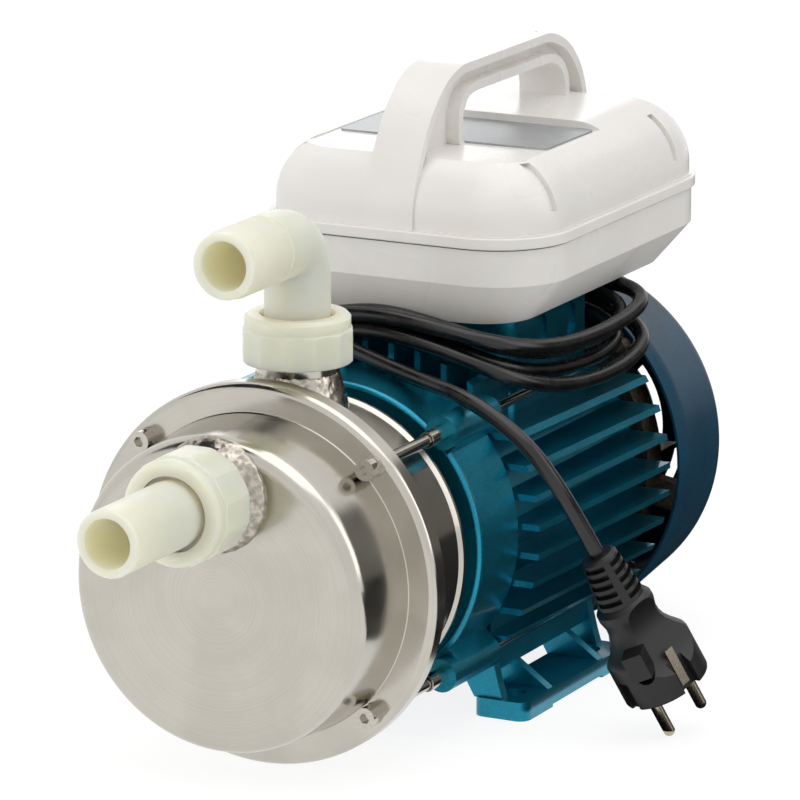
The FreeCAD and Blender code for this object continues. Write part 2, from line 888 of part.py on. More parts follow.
def impeller_nut():
    front = impeller_front - impeller_nut_length
    body = hexagon(impeller_nut_radius, front, impeller_front)
    return body.cut(rod(impeller_bore, front - 1, impeller_front + 1))


def seal_seat():
    return ring(seal_seat_radius, shaft_radius + 1.5, seal_seat_front, back_plate_front)


def seal_head():
    return ring(seal_head_radius, shaft_radius + fit_clearance, impeller_rear,
                seal_seat_front - seal_gap)


def water_slinger():
    return ring(slinger_radius, shaft_radius + fit_clearance, slinger_front,
                slinger_front + slinger_length)


def shaft():
    front_shoulder = front_bearing["front"] + front_bearing["width"]
    rear_shoulder = rear_bearing["front"]
    return revolved([
        (shaft_front, 0), (shaft_front, shaft_front_radius), (impeller_rear, shaft_front_radius),
        (impeller_rear, shaft_radius), (front_shoulder, shaft_radius),
        (front_shoulder, rotor_shaft_radius), (rear_shoulder, rotor_shaft_radius),
        (rear_shoulder, shaft_rear_radius), (shaft_rear, shaft_rear_radius), (shaft_rear, 0),
    ])


# Bearings
def groove_torus(size):
    pitch = (size["bore"] + size["outer"]) / 2
    middle = size["front"] + size["width"] / 2
    return Part.makeTorus(pitch, size["ball"] + bearing_play, V(0, middle, 0), AXIS_Y)


def bearing_outer(size):
    rear = size["front"] + size["width"]
    race = ring(size["outer"], size["outer"] - race_thickness, size["front"], rear)
    return race.cut(groove_torus(size))


def bearing_inner(size):
    rear = size["front"] + size["width"]
    bore = size["bore"] + fit_clearance
    race = ring(size["bore"] + race_thickness, bore, size["front"], rear)
    return race.cut(groove_torus(size))


def bearing_balls(size):
    """Balls in the round pockets of their cage."""
    pitch = (size["bore"] + size["outer"]) / 2
    middle = size["front"] + size["width"] / 2
    cage = ring(pitch + cage_half_thickness, pitch - cage_half_thickness,
                middle - cage_half_width, middle + cage_half_width)
    balls = []
    pockets = []
    for i in range(size["balls"]):
        a = 2 * math.pi * i / size["balls"]
        centre = V(pitch * math.cos(a), middle, pitch * math.sin(a))
        balls.append(Part.makeSphere(size["ball"], centre))
        along = V(math.cos(a), 0, math.sin(a))
        pocket = size["ball"] + bearing_play
        pockets.append(Part.makeCylinder(pocket, 4 * cage_half_thickness,
                                         centre - along * 2 * cage_half_thickness, along))
    return compound([cage.cut(pockets)] + balls)


def wave_washer():
    front = rear_bearing["front"] + rear_bearing["width"]
    return ring(rear_bearing["outer"] - 0.6, rear_bearing["outer"] - race_thickness - 1.0,
                front, front + wave_washer_thickness)


# Motor
def motor_shield():
    """Front end bell: nose against the casing, bearing hub, wall, spigot, ears."""
    rear_of_wall = shield_front + shield_front_wall
    inside = shield_front_radius - shield_wall
    spigot = stator_radius - motor_clearance
    seat = front_bearing["outer"] + fit_clearance
    shoulder = front_bearing["outer"] - race_thickness
    bell = revolved([
        (rear_casing_length, hub_nose_bore), (rear_casing_length, hub_nose_radius),
        (shield_front, hub_nose_radius), (shield_front, shield_front_radius),
        (shield_rear, shield_rear_radius), (shield_rear, spigot),
        (shield_rear + spigot_length, spigot),
        (shield_rear + spigot_length, spigot - spigot_wall),
        (shield_rear - spigot_length, spigot - spigot_wall),
        (shield_rear - 2 * spigot_length, inside), (rear_of_wall, inside),
        (rear_of_wall, hub_radius), (shield_front + hub_depth, hub_radius),
        (shield_front + hub_depth, seat), (front_bearing["front"], seat),
        (front_bearing["front"], shoulder), (rear_of_wall, shoulder),
        (rear_of_wall, hub_nose_bore),
    ])
    ears = on_bolt_circle(lambda x, z: rod(ear_radius, ear_front, shield_rear, x, z))
    web = block(inside + 1.0, bolt_circle, shield_front, shield_rear, -ear_radius, ear_radius)
    webs = [turned(web, angle) for angle in bolt_angles]
    bore = screw_thread_radius + thread_clearance
    bores = on_bolt_circle(lambda x, z: rod(bore, ear_front - 1, shield_rear + 1, x, z))
    return fuse_all([bell] + ears + webs).cut(bores)


def stator_core():
    core = ring(stator_radius, stator_bore, stator_front, stator_rear)
    half = stator_slot_width / 2
    slot = block(stator_bore - 2, stator_bore + stator_slot_depth, stator_front - 1,
                 stator_rear + 1, -half, half)
    step = 360.0 / stator_slots
    return core.cut([turned(slot, step * i) for i in range(stator_slots)])


def stator_windings():
    """Bars in the slots joined by the end turns at both ends."""
    inner = stator_bore + 1.0
    outer = stator_bore + stator_slot_depth - winding_clearance
    half = stator_slot_width / 2 - winding_clearance
    front = stator_front - winding_overhang
    rear = stator_rear + winding_overhang
    bar = block(inner + 0.2, outer, front + 2, rear - 2, -half, half)
    step = 360.0 / stator_slots
    pieces = [turned(bar, step * i) for i in range(stator_slots)]
    pieces.append(ring(winding_radius, inner, front, stator_front - winding_clearance))
    pieces.append(ring(winding_radius, inner, stator_rear + winding_clearance, rear))
    return fuse_all(pieces)


def rotor_core():
    radius = stator_bore - air_gap
    bore = rotor_shaft_radius + fit_clearance
    return fuse_all([
        ring(radius, bore, stator_front, stator_rear),
        ring(radius - 1.0, radius - 9.0, stator_front - rotor_ring, stator_front + 1),
        ring(radius - 1.0, radius - 9.0, stator_rear - 1, stator_rear + rotor_ring),
    ])


def fins():
    """Cooling fins: flat ones along the sides, upright ones above and below."""
    half = fin_thickness / 2
    wide = fin_rear_radius + 2
    plates = []
    for i in range(side_fin_count):
        z = side_fin_lowest + i * fin_pitch
        plates.append(block(-wide, wide, fin_front, fin_rear, z - half, z + half))
    for i in range(top_fin_count):
        x = (i - (top_fin_count - 1) / 2) * upright_fin_pitch
        plates.append(block(x - half, x + half, fin_front, neck_front + neck_wall,
                            barrel_radius / 2, wide))
    for i in range(bottom_fin_count):
        x = (i - (bottom_fin_count - 1) / 2) * upright_fin_pitch
        plates.append(block(x - half, x + half, fin_front, fin_rear, -bottom_fin_tip,
                            -barrel_radius / 2))
    envelope = Part.makeCone(fin_front_radius, fin_rear_radius, fin_rear - fin_front,
                             V(0, fin_front, 0), AXIS_Y)
    return [plate.common(envelope) for plate in plates]


def across(outline, y0, y1):
    """Plate across the shaft, from an outline of (x, z) points."""
    corners = [V(x, y0, z) for x, z in outline + outline[:1]]
    return Part.Face(Part.makePolygon(corners)).extrude(V(0, y1 - y0, 0))


def foot():
    """Right hand foot: plate, skirt, two end webs and two gussets."""
    y0 = foot_centre_from_joint - foot_length / 2
    y1 = y0 + foot_length
    plate = rounded_block(foot_inner, foot_outer, y0, y1, floor_z, foot_top, foot_corner)
    relief = block(foot_inner - 1, foot_outer + 1, y0 + foot_pad_length, y1 - foot_pad_length,
                   floor_z - 1, floor_z + foot_pad_lift)
    skirt = block(foot_skirt_outer - foot_skirt_wall, foot_skirt_outer,
                  y0 + foot_end_web_margin, y1 - foot_end_web_margin, foot_skirt_bottom,
                  foot_skirt_top)
    sunk = foot_top - foot_plate_overlap
    root = (foot_root_x, foot_root_z)
    end_outline = [root, (foot_skirt_outer, foot_skirt_top), (foot_skirt_outer, foot_ankle_z),
                   (foot_skirt_outer + foot_toe_out, foot_toe_z),
                   (foot_skirt_outer + foot_toe_out + 2, sunk), (foot_inner, sunk)]
    gusset_outline = [root, (foot_skirt_outer - 2, foot_skirt_top),
                      (foot_skirt_outer - 4, foot_gusset_top),
                      (foot_outer - foot_plate_overlap, sunk), (foot_inner, sunk)]
    pieces = [plate.cut(relief), skirt]
    for start in (y0 + foot_end_web_margin, y1 - foot_end_web_margin - foot_end_web):
        pieces.append(across(end_outline, start, start + foot_end_web))
    for side in (-1, 1):
        middle = foot_centre_from_joint + side * foot_gusset_station
        pieces.append(across(gusset_outline, middle - foot_web / 2, middle + foot_web / 2))
    return pieces


def foot_holes():
    holes = []
    for side_x in (-1, 1):
        for side_y in (-1, 1):
            holes.append(post(foot_hole_radius, floor_z - 1, foot_top + 1,
                              side_x * foot_hole_spacing_x / 2,
                              foot_centre_from_joint + side_y * foot_hole_spacing_y / 2))
    return holes


def mirrored(shape):
    """The same piece on the other side of the shaft."""
    return shape.mirror(V(0, 0, 0), AXIS_X)


def neck():
    """Walls of the pedestal, down into the barrel."""
    w = neck_wall
    outer = rounded_block(-neck_half_width, neck_half_width, neck_front, neck_rear,
                          barrel_radius / 2, box_floor, neck_corner)
    inner = rounded_block(-neck_half_width + w, neck_half_width - w, neck_front + w,
                          neck_rear - w, barrel_radius / 2, box_floor + 1, neck_corner - w)
    walls = outer.cut(inner)
    height = box_floor - slot_from_top
    marks = []
    for y in slot_stations:
        for side in (-1, 1):
            marks.append(oval_mark(side * neck_half_width, y, height))
    bosses = []
    for x in (-box_screw_x, box_screw_x):
        for y in box_screw_stations:
            bosses.append(post(box_screw_boss, barrel_radius / 2 + 5, box_floor, x, y))
    return walls.cut(marks), [boss.common(outer) for boss in bosses]


def oval_mark(x, y, z):
    """Shallow upright oval in the side of the pedestal."""
    span = slot_half_height - slot_half_width
    start = V(x - slot_depth, y, z)
    ends = [Part.makeCylinder(slot_half_width, 2 * slot_depth, start + V(0, 0, side * span), AXIS_X)
            for side in (-1, 1)]
    middle = block(x - slot_depth, x + slot_depth, y - slot_half_width, y + slot_half_width,
                   z - span, z + span)
    return fuse_all(ends + [middle])


def motor_housing():
    """Barrel with fins, feet and the pedestal for the box."""
    barrel = rod(barrel_radius, housing_front, housing_rear)
    walls, bosses = neck()
    right = foot()
    left = [mirrored(piece) for piece in right]
    body = fuse_all([barrel, walls] + bosses + fins() + right + left)
    rod_bore = screw_thread_radius + hole_clearance * 2
    cuts = on_bolt_circle(lambda x, z: rod(rod_bore, housing_front - 1, housing_rear + 1, x, z))
    cuts += foot_holes()
    cuts.append(rod(barrel_bore, housing_front - 1, housing_rear + 1))
    cuts.append(post(wire_hole_radius, barrel_radius / 2, barrel_radius + 5, 0, wire_hole_station))
    thread = box_screw_root + thread_clearance
    for x in (-box_screw_x, box_screw_x):
        for y in box_screw_stations:
            cuts.append(post(thread, box_floor - box_screw_bore, box_floor + 1, x, y))
    return body.cut(cuts)


def rear_shield():
    """Rear end plate: spigot, bearing hub, rod ears and lugs for the fan cover."""
    seat = rear_bearing["outer"] + fit_clearance
    pocket_end = rear_bearing["front"] + rear_bearing["width"] + wave_washer_thickness
    spigot = stator_radius - motor_clearance
    wall = housing_rear + shield_front_wall
    plate = revolved([
        (housing_rear - spigot_length, spigot - spigot_wall),
        (housing_rear - spigot_length, spigot), (housing_rear, spigot),
        (housing_rear, rear_shield_radius), (rear_shield_rear, rear_shield_radius),
        (rear_shield_rear, rear_shield_radius - spigot_wall),
        (wall, rear_shield_radius - spigot_wall), (wall, rear_hub_radius),
        (rear_hub_rear, rear_hub_radius), (rear_hub_rear, rear_hub_bore),
        (pocket_end, rear_hub_bore), (pocket_end, seat), (housing_rear, seat),
        (housing_rear, spigot - spigot_wall),
    ])
    ears = on_bolt_circle(
        lambda x, z: rod(rear_ear_radius, housing_rear, rear_shield_rear, x, z))
    half = rear_ear_radius
    web = block(rear_shield_radius - 3, bolt_circle, housing_rear, rear_shield_rear, -half, half)
    webs = [turned(web, angle) for angle in bolt_angles]
    inside = cover_front_radius - cover_sheet
    lug = block(rear_shield_radius - 3, inside + 3, cover_front, rear_shield_rear,
                -lug_width / 2, lug_width / 2)
    limit = fan_cover_inside(hole_clearance)
    lugs = [turned(lug, angle).common(limit) for angle in lug_angles]
    bore = screw_thread_radius + thread_clearance
    cuts = on_bolt_circle(lambda x, z: rod(bore, housing_rear - 1, rear_shield_rear + 1, x, z))
    cuts += [turned(radial_rod(bore, inside - lug_bore_length, inside + 5), angle)
             for angle in cover_screw_angles]
    return fuse_all([plate] + ears + webs + lugs).cut(cuts)


def radial_rod(radius, from_axis, to_axis):
    """Cylinder pointing away from the shaft at the cover screws' station."""
    return Part.makeCylinder(radius, to_axis - from_axis, V(from_axis, cover_screw_station, 0),
                             AXIS_X)


# Fan and its cover
def fan():
    blade = block(fan_blade_root, fan_radius, fan_front, fan_front + fan_length,
                  -fan_blade_thickness / 2, fan_blade_thickness / 2)
    blades = [turned(blade, 360.0 * i / fan_blades) for i in range(fan_blades)]
    plate = rod(fan_radius, fan_front, fan_front + fan_plate)
    hub = rod(fan_hub_radius, fan_front, fan_front + fan_length)
    bore = rod(fan_bore, fan_front - 1, fan_front + fan_length + 1)
    return fuse_all([plate, hub] + blades).cut(bore)


def fan_cover_inside(clearance):
    """Solid that fills the front of the cover's inside, less a clearance."""
    off = cover_sheet + clearance
    return revolved([
        (cover_front - 1, 0), (cover_front - 1, cover_front_radius - off),
        (cover_shoulder, cover_shoulder_radius - off),
        (cover_taper_end, cover_taper_radius - off), (cover_taper_end, 0),
    ])


def fan_cover():
    """Sheet cup over the fan, with a domed and slotted back."""
    points = [
        (cover_front, cover_front_radius), (cover_shoulder, cover_shoulder_radius),
        (cover_taper_end, cover_taper_radius), (cover_rear - 2.0, cover_taper_radius - 9.0),
        (cover_rear, grille_first), (cover_rear, 0.0),
    ]
    shell = sheet_turned(points, cover_bends, cover_sheet)
    cuts = []
    for i in range(grille_rings):
        inner = grille_first + i * grille_pitch
        cuts.append(ring(inner + grille_slot, inner, cover_taper_end - 4, cover_rear + 5))
    bridge = block(-grille_bridge / 2, grille_bridge / 2, cover_taper_end - 5, cover_rear + 6,
                   -cover_taper_radius, cover_taper_radius)
    bridges = [turned(bridge, angle) for angle in (45, 135)]
    slots = compound(cuts).cut(bridges)
    holes = [turned(radial_rod(cover_screw_hole, rear_shield_radius, cover_front_radius + 5), angle)
             for angle in cover_screw_angles]
    return shell.cut([slots] + holes)


def fan_cover_screws():
    """Radial screws that hold the cover on the rear plate's lugs."""
    start = cover_front_radius - cover_sheet - cover_screw_grip
    seat = cover_shoulder_radius + cover_screw_seat
    screw = fuse_all([
        radial_rod(screw_thread_radius, start, seat + cover_screw_cap / 2),
        radial_rod(screw_head_radius, seat, seat + cover_screw_cap),
    ])
    return compound([turned(screw, angle) for angle in cover_screw_angles])


# Box
def rounded_outline(half_width, front, rear, corner, z):
    """Rounded rectangle, with its corners as arcs."""
    k = corner * (1 - math.cos(math.pi / 4))
    edges = []
    rights = [(half_width, front, 1, 1), (half_width, rear, 1, -1),
              (-half_width, rear, -1, -1), (-half_width, front, -1, 1)]
    arcs = []
    for x, y, sx, sy in rights:
        along_x = V(x - sx * corner, y, z)
        along_y = V(x, y + sy * corner, z)
        middle = V(x - sx * k, y + sy * k, z)
        arcs.append((along_x, middle, along_y))
    order = [arcs[0], arcs[1][::-1], arcs[2], arcs[3][::-1]]
    for i, (start, middle, end) in enumerate(order):
        edges.append(Part.Arc(start, middle, end).toShape())
        edges.append(Part.LineSegment(end, order[(i + 1) % 4][0]).toShape())
    return Part.Wire(edges)


def base_solid(inset, floor):
    """Solid of the box base: a sloping lower part under an upright band."""
    low = rounded_outline(base_floor_half_width - inset, base_floor_front + inset,
                          base_floor_rear - inset, base_floor_corner - inset, floor)
    high = rounded_outline(box_half_width - inset, box_front + inset, box_rear - inset,
                           box_corner - inset, base_bend_height)
    slope = Part.makeLoft([low, high], True, True)
    band = Part.Face(high).extrude(V(0, 0, seam_height - base_bend_height + inset))
    return slope.fuse(band).removeSplitter()


def box_base():
    shell = base_solid(0.0, box_floor).cut(base_solid(box_wall, box_floor_top))
    posts = [post(post_radius, box_floor + 1, seam_height, x, y)
             for x in (-post_x, post_x) for y in post_stations]
    cuts = [gland_axis_rod(gland_radius + fit_clearance, -15, 15)]
    for x in (-post_x, post_x):
        for y in post_stations:
            cuts.append(post(cover_screw_radius + hole_clearance, box_floor - 1, seam_height + 1,
                             x, y))
            cuts.append(post(cover_screw_head_radius + hole_clearance, box_floor - 1,
                             box_floor + cover_screw_head, x, y))
    for x in (-box_screw_x, box_screw_x):
        for y in box_screw_stations:
            cuts.append(post(box_screw_radius + hole_clearance, box_floor - 1, box_floor + 5, x, y))
    cuts.append(post(wire_hole_radius, box_floor - 1, box_floor + 5, 0, wire_hole_station))
    cuts.append(switch_hole())
    return fuse_all([shell] + posts).cut(cuts)


def switch_hole():
    half = switch_half_width - switch_frame_rim + fit_clearance
    high = switch_half_height - switch_frame_rim + fit_clearance
    return block(-half, half, box_rear - 10, box_rear + 5, switch_height - high,
                 switch_height + high)


def box_gasket():
    inset = box_gasket_inset
    inner = box_wall
    outer = Part.Face(rounded_outline(box_half_width - inset, box_front + inset, box_rear - inset,
                                      box_corner - inset, seam_height))
    hole = Part.Face(rounded_outline(box_half_width - inner, box_front + inner,
                                     box_rear - inner, box_corner - inner, seam_height))
    return outer.cut(hole).extrude(V(0, 0, seam_gap))


def cover_solid(inset):
    """Outer form of the cover above its rim, drawn in by an inset."""
    off = rim_step + inset
    body = Part.Face(rounded_outline(box_half_width - off, box_front + off, box_rear - off,
                                     box_corner - off, cover_bottom))
    body = body.extrude(V(0, 0, cover_top - inset - cover_bottom))
    top = [e for e in body.Edges
           if abs(e.BoundBox.ZMin - body.BoundBox.ZMax) < 0.001]
    return body.makeFillet(cover_round - inset, top)


def in_plane(outline, half_width):
    """Extrude a closed wire of the handle's plane to both sides of it."""
    return Part.Face(outline).extrude(V(2 * half_width, 0, 0))


def handle_wire(points, grow):
    """Outline in the handle's plane, its corners rounded, grown or drawn in."""
    route = [V(-handle_half_width, y, z) for y, z in points]
    radii = []
    for i in range(len(route)):
        into = route[i] - route[i - 1]
        out = route[(i + 1) % len(route)] - route[i]
        half = into.getAngle(out) / 2
        most = 0.45 * min(into.Length, out.Length) / math.tan(half) if half > 1e-3 else 0.0
        radii.append(min(most, handle_largest_round))
    wire = rounded_route(route, radii, True)
    return wire.makeOffset2D(grow) if grow else wire


def handle():
    """Arch over the box with a window for the hand and recessed sides."""
    low = rim_top - 1.0
    foot_points = ((handle_outer[-1][0], low), (handle_outer[0][0], low))
    outline = handle_outer + foot_points
    arch = in_plane(handle_wire(outline, 0), handle_half_width)
    window = in_plane(handle_wire(handle_window, 0), handle_half_width)
    recess_outer = in_plane(handle_wire(outline, -handle_rim), handle_recess / 2)
    recess_inner = in_plane(handle_wire(handle_window, handle_rim), handle_recess / 2)
    recess = recess_outer.cut(recess_inner)
    other = recess.copy()
    other.translate(V(2 * handle_half_width - handle_recess, 0, 0))
    return arch.cut([window, recess, other])


def crescents():
    """Grooves that follow the section of the cover's shoulders."""
    skin = cover_solid(crescent_depth)
    half = crescent_width / 2
    cuts = []
    for y in crescent_stations:
        for x0, x1 in ((crescent_inner_x, box_half_width + 1),
                       (-box_half_width - 1, -crescent_inner_x)):
            slab = block(x0, x1, y - half, y + half, crescent_low, crescent_high)
            cuts.append(slab.cut(skin))
    return cuts


def box_cover():
    outer = cover_solid(0.0)
    rim = Part.Face(rounded_outline(box_half_width, box_front, box_rear, box_corner,
                                    cover_bottom)).extrude(V(0, 0, rim_top - cover_bottom))
    inner = cover_solid(cover_wall)
    inner.translate(V(0, 0, -1))
    inner = inner.fuse(Part.Face(rounded_outline(
        box_half_width - rim_step - cover_wall, box_front + rim_step + cover_wall,
        box_rear - rim_step - cover_wall, box_corner - rim_step - cover_wall,
        cover_bottom - 1)).extrude(V(0, 0, 5)))
    panel = block(-top_panel_half_width, top_panel_half_width, top_panel_front, top_panel_rear,
                  top_panel_height, cover_top + 5)
    panel_floor = block(-top_panel_half_width - cover_wall, top_panel_half_width + cover_wall,
                        top_panel_front - cover_wall, top_panel_rear + cover_wall,
                        top_panel_height - cover_wall, cover_top).common(outer)
    bosses = [post(post_radius, cover_bottom, cover_top, x, y).common(outer)
              for x in (-post_x, post_x) for y in post_stations]
    shell = fuse_all([outer, rim]).cut(inner)
    shell = shell.fuse([panel_floor] + bosses).cut([panel] + crescents())
    arch = handle().cut([outer.cut(panel), rim])
    body = shell.fuse(arch).removeSplitter()
    cuts = []
    thread = cover_screw_root + thread_clearance
    top = box_floor + cover_screw_head + cover_screw_length + 1.0
    for x in (-post_x, post_x):
        for y in post_stations:
            cuts.append(post(thread, cover_bottom - 1, top, x, y))
    for y in handle_cap_stations:
        cuts.append(post(handle_cap_radius + fit_clearance, handle_top - handle_cap_thickness,
                         handle_top + 1, 0, y))
    return body.cut(cuts)


def handle_caps():
    return compound([post(handle_cap_radius, handle_top - handle_cap_thickness, handle_top, 0, y)
                     for y in handle_cap_stations])


def label_plate():
    """Plain plate in the cover's recess, with a way round the handle's legs."""
    edge = top_panel_half_width - label_margin
    plate = rounded_block(-edge, edge, label_front, top_panel_rear - label_margin,
                          top_panel_height, top_panel_height + label_thickness, 2.0)
    return plate


def cover_screws():
    low = box_floor
    screws = []
    for x in (-post_x, post_x):
        for y in post_stations:
            screws.append(fuse_all([
                post(cover_screw_head_radius, low, low + cover_screw_head, x, y),
                post(cover_screw_root, low + 1, low + cover_screw_head + cover_screw_length,
                     x, y),
            ]))
    return compound(screws)


def box_screws():
    seat = box_floor_top
    screws = []
    for x in (-box_screw_x, box_screw_x):
        for y in box_screw_stations:
            screws.append(fuse_all([
                post(box_screw_head_radius, seat, seat + box_screw_head, x, y),
                post(box_screw_root, seat - box_screw_length + box_screw_head, seat + 1,
                     x, y),
            ]))
    return compound(screws)


def capacitor():
    z = box_floor_top + capacitor_radius
    return rod(capacitor_radius, capacitor_front, capacitor_front + capacitor_length,
               capacitor_x, z)


def terminal_block():
    wide, deep, high = terminal_size
    x, y = terminal_place
    return block(x - wide / 2, x + wide / 2, y - deep / 2, y + deep / 2, box_floor_top,
                 box_floor_top + high)


# Switch in the rear wall: the rocker tilts about a pin along X
def rocker_pivot():
    return V(0, box_rear - rocker_pivot_depth, switch_height)


def switch_frame():
    rim = block(-switch_half_width, switch_half_width, box_rear,
                box_rear + switch_frame_thickness, switch_height - switch_half_height,
                switch_height + switch_half_height)
    half = switch_half_width - switch_frame_rim
    high = switch_half_height - switch_frame_rim
    body = block(-half, half, box_rear - switch_depth, box_rear + 1, switch_height - high,
                 switch_height + high)
    w = switch_frame_wall
    well = block(-half + w, half - w, box_rear - switch_depth + w, box_rear + 5,
                 switch_height - high + w, switch_height + high - w)
    pin = Part.makeCylinder(rocker_pivot_radius, 2 * half,
                            rocker_pivot() - V(half, 0, 0), AXIS_X)
    return fuse_all([fuse_all([rim, body]).cut(well), pin])


def switch_rocker():
    """Rocker with a shallow vee on its face, resting with its lower end in."""
    w = switch_frame_wall
    half = switch_half_width - switch_frame_rim - w - rocker_clearance
    high = switch_half_height - switch_frame_rim - w - rocker_clearance
    pivot = rocker_pivot()
    face = rocker_pivot_depth + rocker_stand_out
    dip = face - high * math.tan(math.radians(rocker_angle))
    outline = [(-high * 0.96, face), (0.0, dip), (high * 0.96, face),
               (high * 0.8, -rocker_pivot_depth), (-high * 0.8, -rocker_pivot_depth)]
    corners = [V(-half, pivot.y + y, pivot.z + z) for z, y in outline + outline[:1]]
    body = Part.Face(Part.makePolygon(corners)).extrude(V(2 * half, 0, 0))
    hole = Part.makeCylinder(rocker_pivot_radius + rocker_pin_clearance, 4 * half,
                             pivot - V(2 * half, 0, 0), AXIS_X)
    body = body.cut(hole)
    body.rotate(pivot, AXIS_X, rocker_angle / 2)
    return body


# Mains lead
def gland_axis():
    """Seat on the sloping wall of the base, and the direction square to it."""
    rise = base_bend_height - box_floor
    run = box_half_width - base_floor_half_width
    out = V(-rise, 0, -run).normalize()
    seat = V(-(base_floor_half_width + box_half_width) / 2, gland_station,
             (box_floor + base_bend_height) / 2)
    return seat, out


def gland_axis_rod(radius, start, end):
    seat, out = gland_axis()
    return Part.makeCylinder(radius, end - start, seat + out * start, out)


def cable_gland():
    """Bush through the wall with a collar outside and a tapered sleeve."""
    seat, out = gland_axis()
    bush = gland_axis_rod(gland_radius, -gland_inside, gland_collar)
    collar = gland_axis_rod(gland_collar_radius, 0, gland_collar)
    sleeve = Part.makeCone(gland_radius + 0.6, gland_end_radius, gland_reach - gland_collar + 1,
                           seat + out * (gland_collar - 1), out)
    return fuse_all([bush, collar, sleeve])


def cord_coil():
    """Outer form of the coil of lead laid round the pedestal."""
    return swept(coil_points, coil_bundle_radius, True)


def cord_feed():
    return swept(feed_points, cord_radius)


def cord_lead():
    return swept(lead_points, cord_radius)


def plug_frame():
    """Start of the plug, its axis, and its pin line square to the axis."""
    axis = V(*plug_axis).normalize()
    line = V(*plug_pin_line)
    line = (line - axis * line.dot(axis)).normalize()
    return V(*plug_start), axis, line


def seated_on_plug(shape):
    """Move a piece built along +Z, pins apart along X, to the plug's place."""
    start, axis, line = plug_frame()
    third = axis.cross(line)
    turn = FreeCAD.Matrix(line.x, third.x, axis.x, start.x,
                          line.y, third.y, axis.y, start.y,
                          line.z, third.z, axis.z, start.z,
                          0, 0, 0, 1)
    return shape.transformed(turn)


def cones(profile):
    """Solid of revolution round +Z through the given pairs of height and radius."""
    steps = []
    for (low, lower_radius), (high, upper_radius) in zip(profile, profile[1:]):
        if abs(lower_radius - upper_radius) < 1e-6:
            steps.append(post(lower_radius, low, high))
        else:
            steps.append(Part.makeCone(lower_radius, upper_radius, high - low, V(0, 0, low), AXIS_Z))
    return fuse_all(steps)


def plug_boot():
    """Tapered strain relief with ribs round it."""
    slope = (boot_end_radius - boot_radius) / boot_length
    pitch = (boot_length - boot_rib) / boot_rib_count
    profile = []
    for i in range(boot_rib_count + 1):
        low = i * pitch
        top = low + boot_rib
        profile.append([(low, boot_radius + slope * low), (top, boot_radius + slope * top)])
    core = Part.makeCone(boot_radius - boot_groove_depth, boot_end_radius - boot_groove_depth,
                         boot_length)
    return seated_on_plug(fuse_all([core] + [cones(rib) for rib in profile]))


def plug_body():
    """Shoulder, waist and the round head that carries the pins, with its grooves."""
    z0 = boot_length
    z3 = z0 + plug_body_length
    z2 = z3 - plug_face_length
    body = cones([
        (z0, plug_neck_radius), (z0 + plug_shoulder, plug_shoulder_radius),
        (z0 + plug_shoulder_end, plug_shoulder_radius), (z0 + plug_waist, plug_waist_radius),
        (z0 + plug_waist_end, plug_waist_radius), (z2 - plug_flare, plug_flare_radius),
        (z2, plug_face_radius), (z3 - plug_edge, plug_face_radius),
        (z3, plug_face_radius - plug_edge),
    ])
    bore = pin_root_radius + fit_clearance
    cuts = [post(bore, z3 - pin_inside, z3 + 1, x, 0)
            for x in (-pin_spacing / 2, pin_spacing / 2)]
    beyond = 2 * plug_face_radius
    half = guide_notch_half_width
    floor = plug_face_radius - guide_notch_depth
    low = z3 - guide_notch_length
    cuts += [block(floor, beyond, -half, half, low, z3 + 1),
             block(-beyond, -floor, -half, half, low, z3 + 1)]
    half = clip_groove_half_width
    low = z3 - clip_length - clip_thickness
    cuts += [block(-half, half, plug_clip_floor, beyond, low, z3 + 1),
             block(-half, half, -beyond, -plug_clip_floor, low, z3 + 1)]
    cuts += clip_blocks(fit_clearance)
    return seated_on_plug(body.cut(cuts))


def clip_blocks(clearance):
    """Earth contact strips let into the floors of the grooves in the plug's head."""
    top = boot_length + plug_body_length - clip_from_face
    wide = clip_width / 2 + clearance
    inner = plug_clip_floor - clip_sunk - clearance
    outer = plug_clip_floor - clip_sunk + clip_thickness + clearance
    low = top - clip_length - clearance
    return [block(-wide, wide, min(a, b), max(a, b), low, top + clearance)
            for a, b in ((inner, outer), (-inner, -outer))]


def plug_earth_clips():
    return seated_on_plug(compound(clip_blocks(0.0)))


def plug_pins():
    """Two round pins on thinner roots that the head holds."""
    pins = []
    for x in (-pin_spacing / 2, pin_spacing / 2):
        top = boot_length + plug_body_length
        shank = top + pin_neck
        straight = top + pin_length - pin_radius
        pins.append(fuse_all([post(pin_root_radius, top - pin_inside, shank, x, 0),
                              post(pin_radius, shank, straight, x, 0),
                              Part.makeSphere(pin_radius, V(x, 0, straight))]))
    return seated_on_plug(compound(pins))


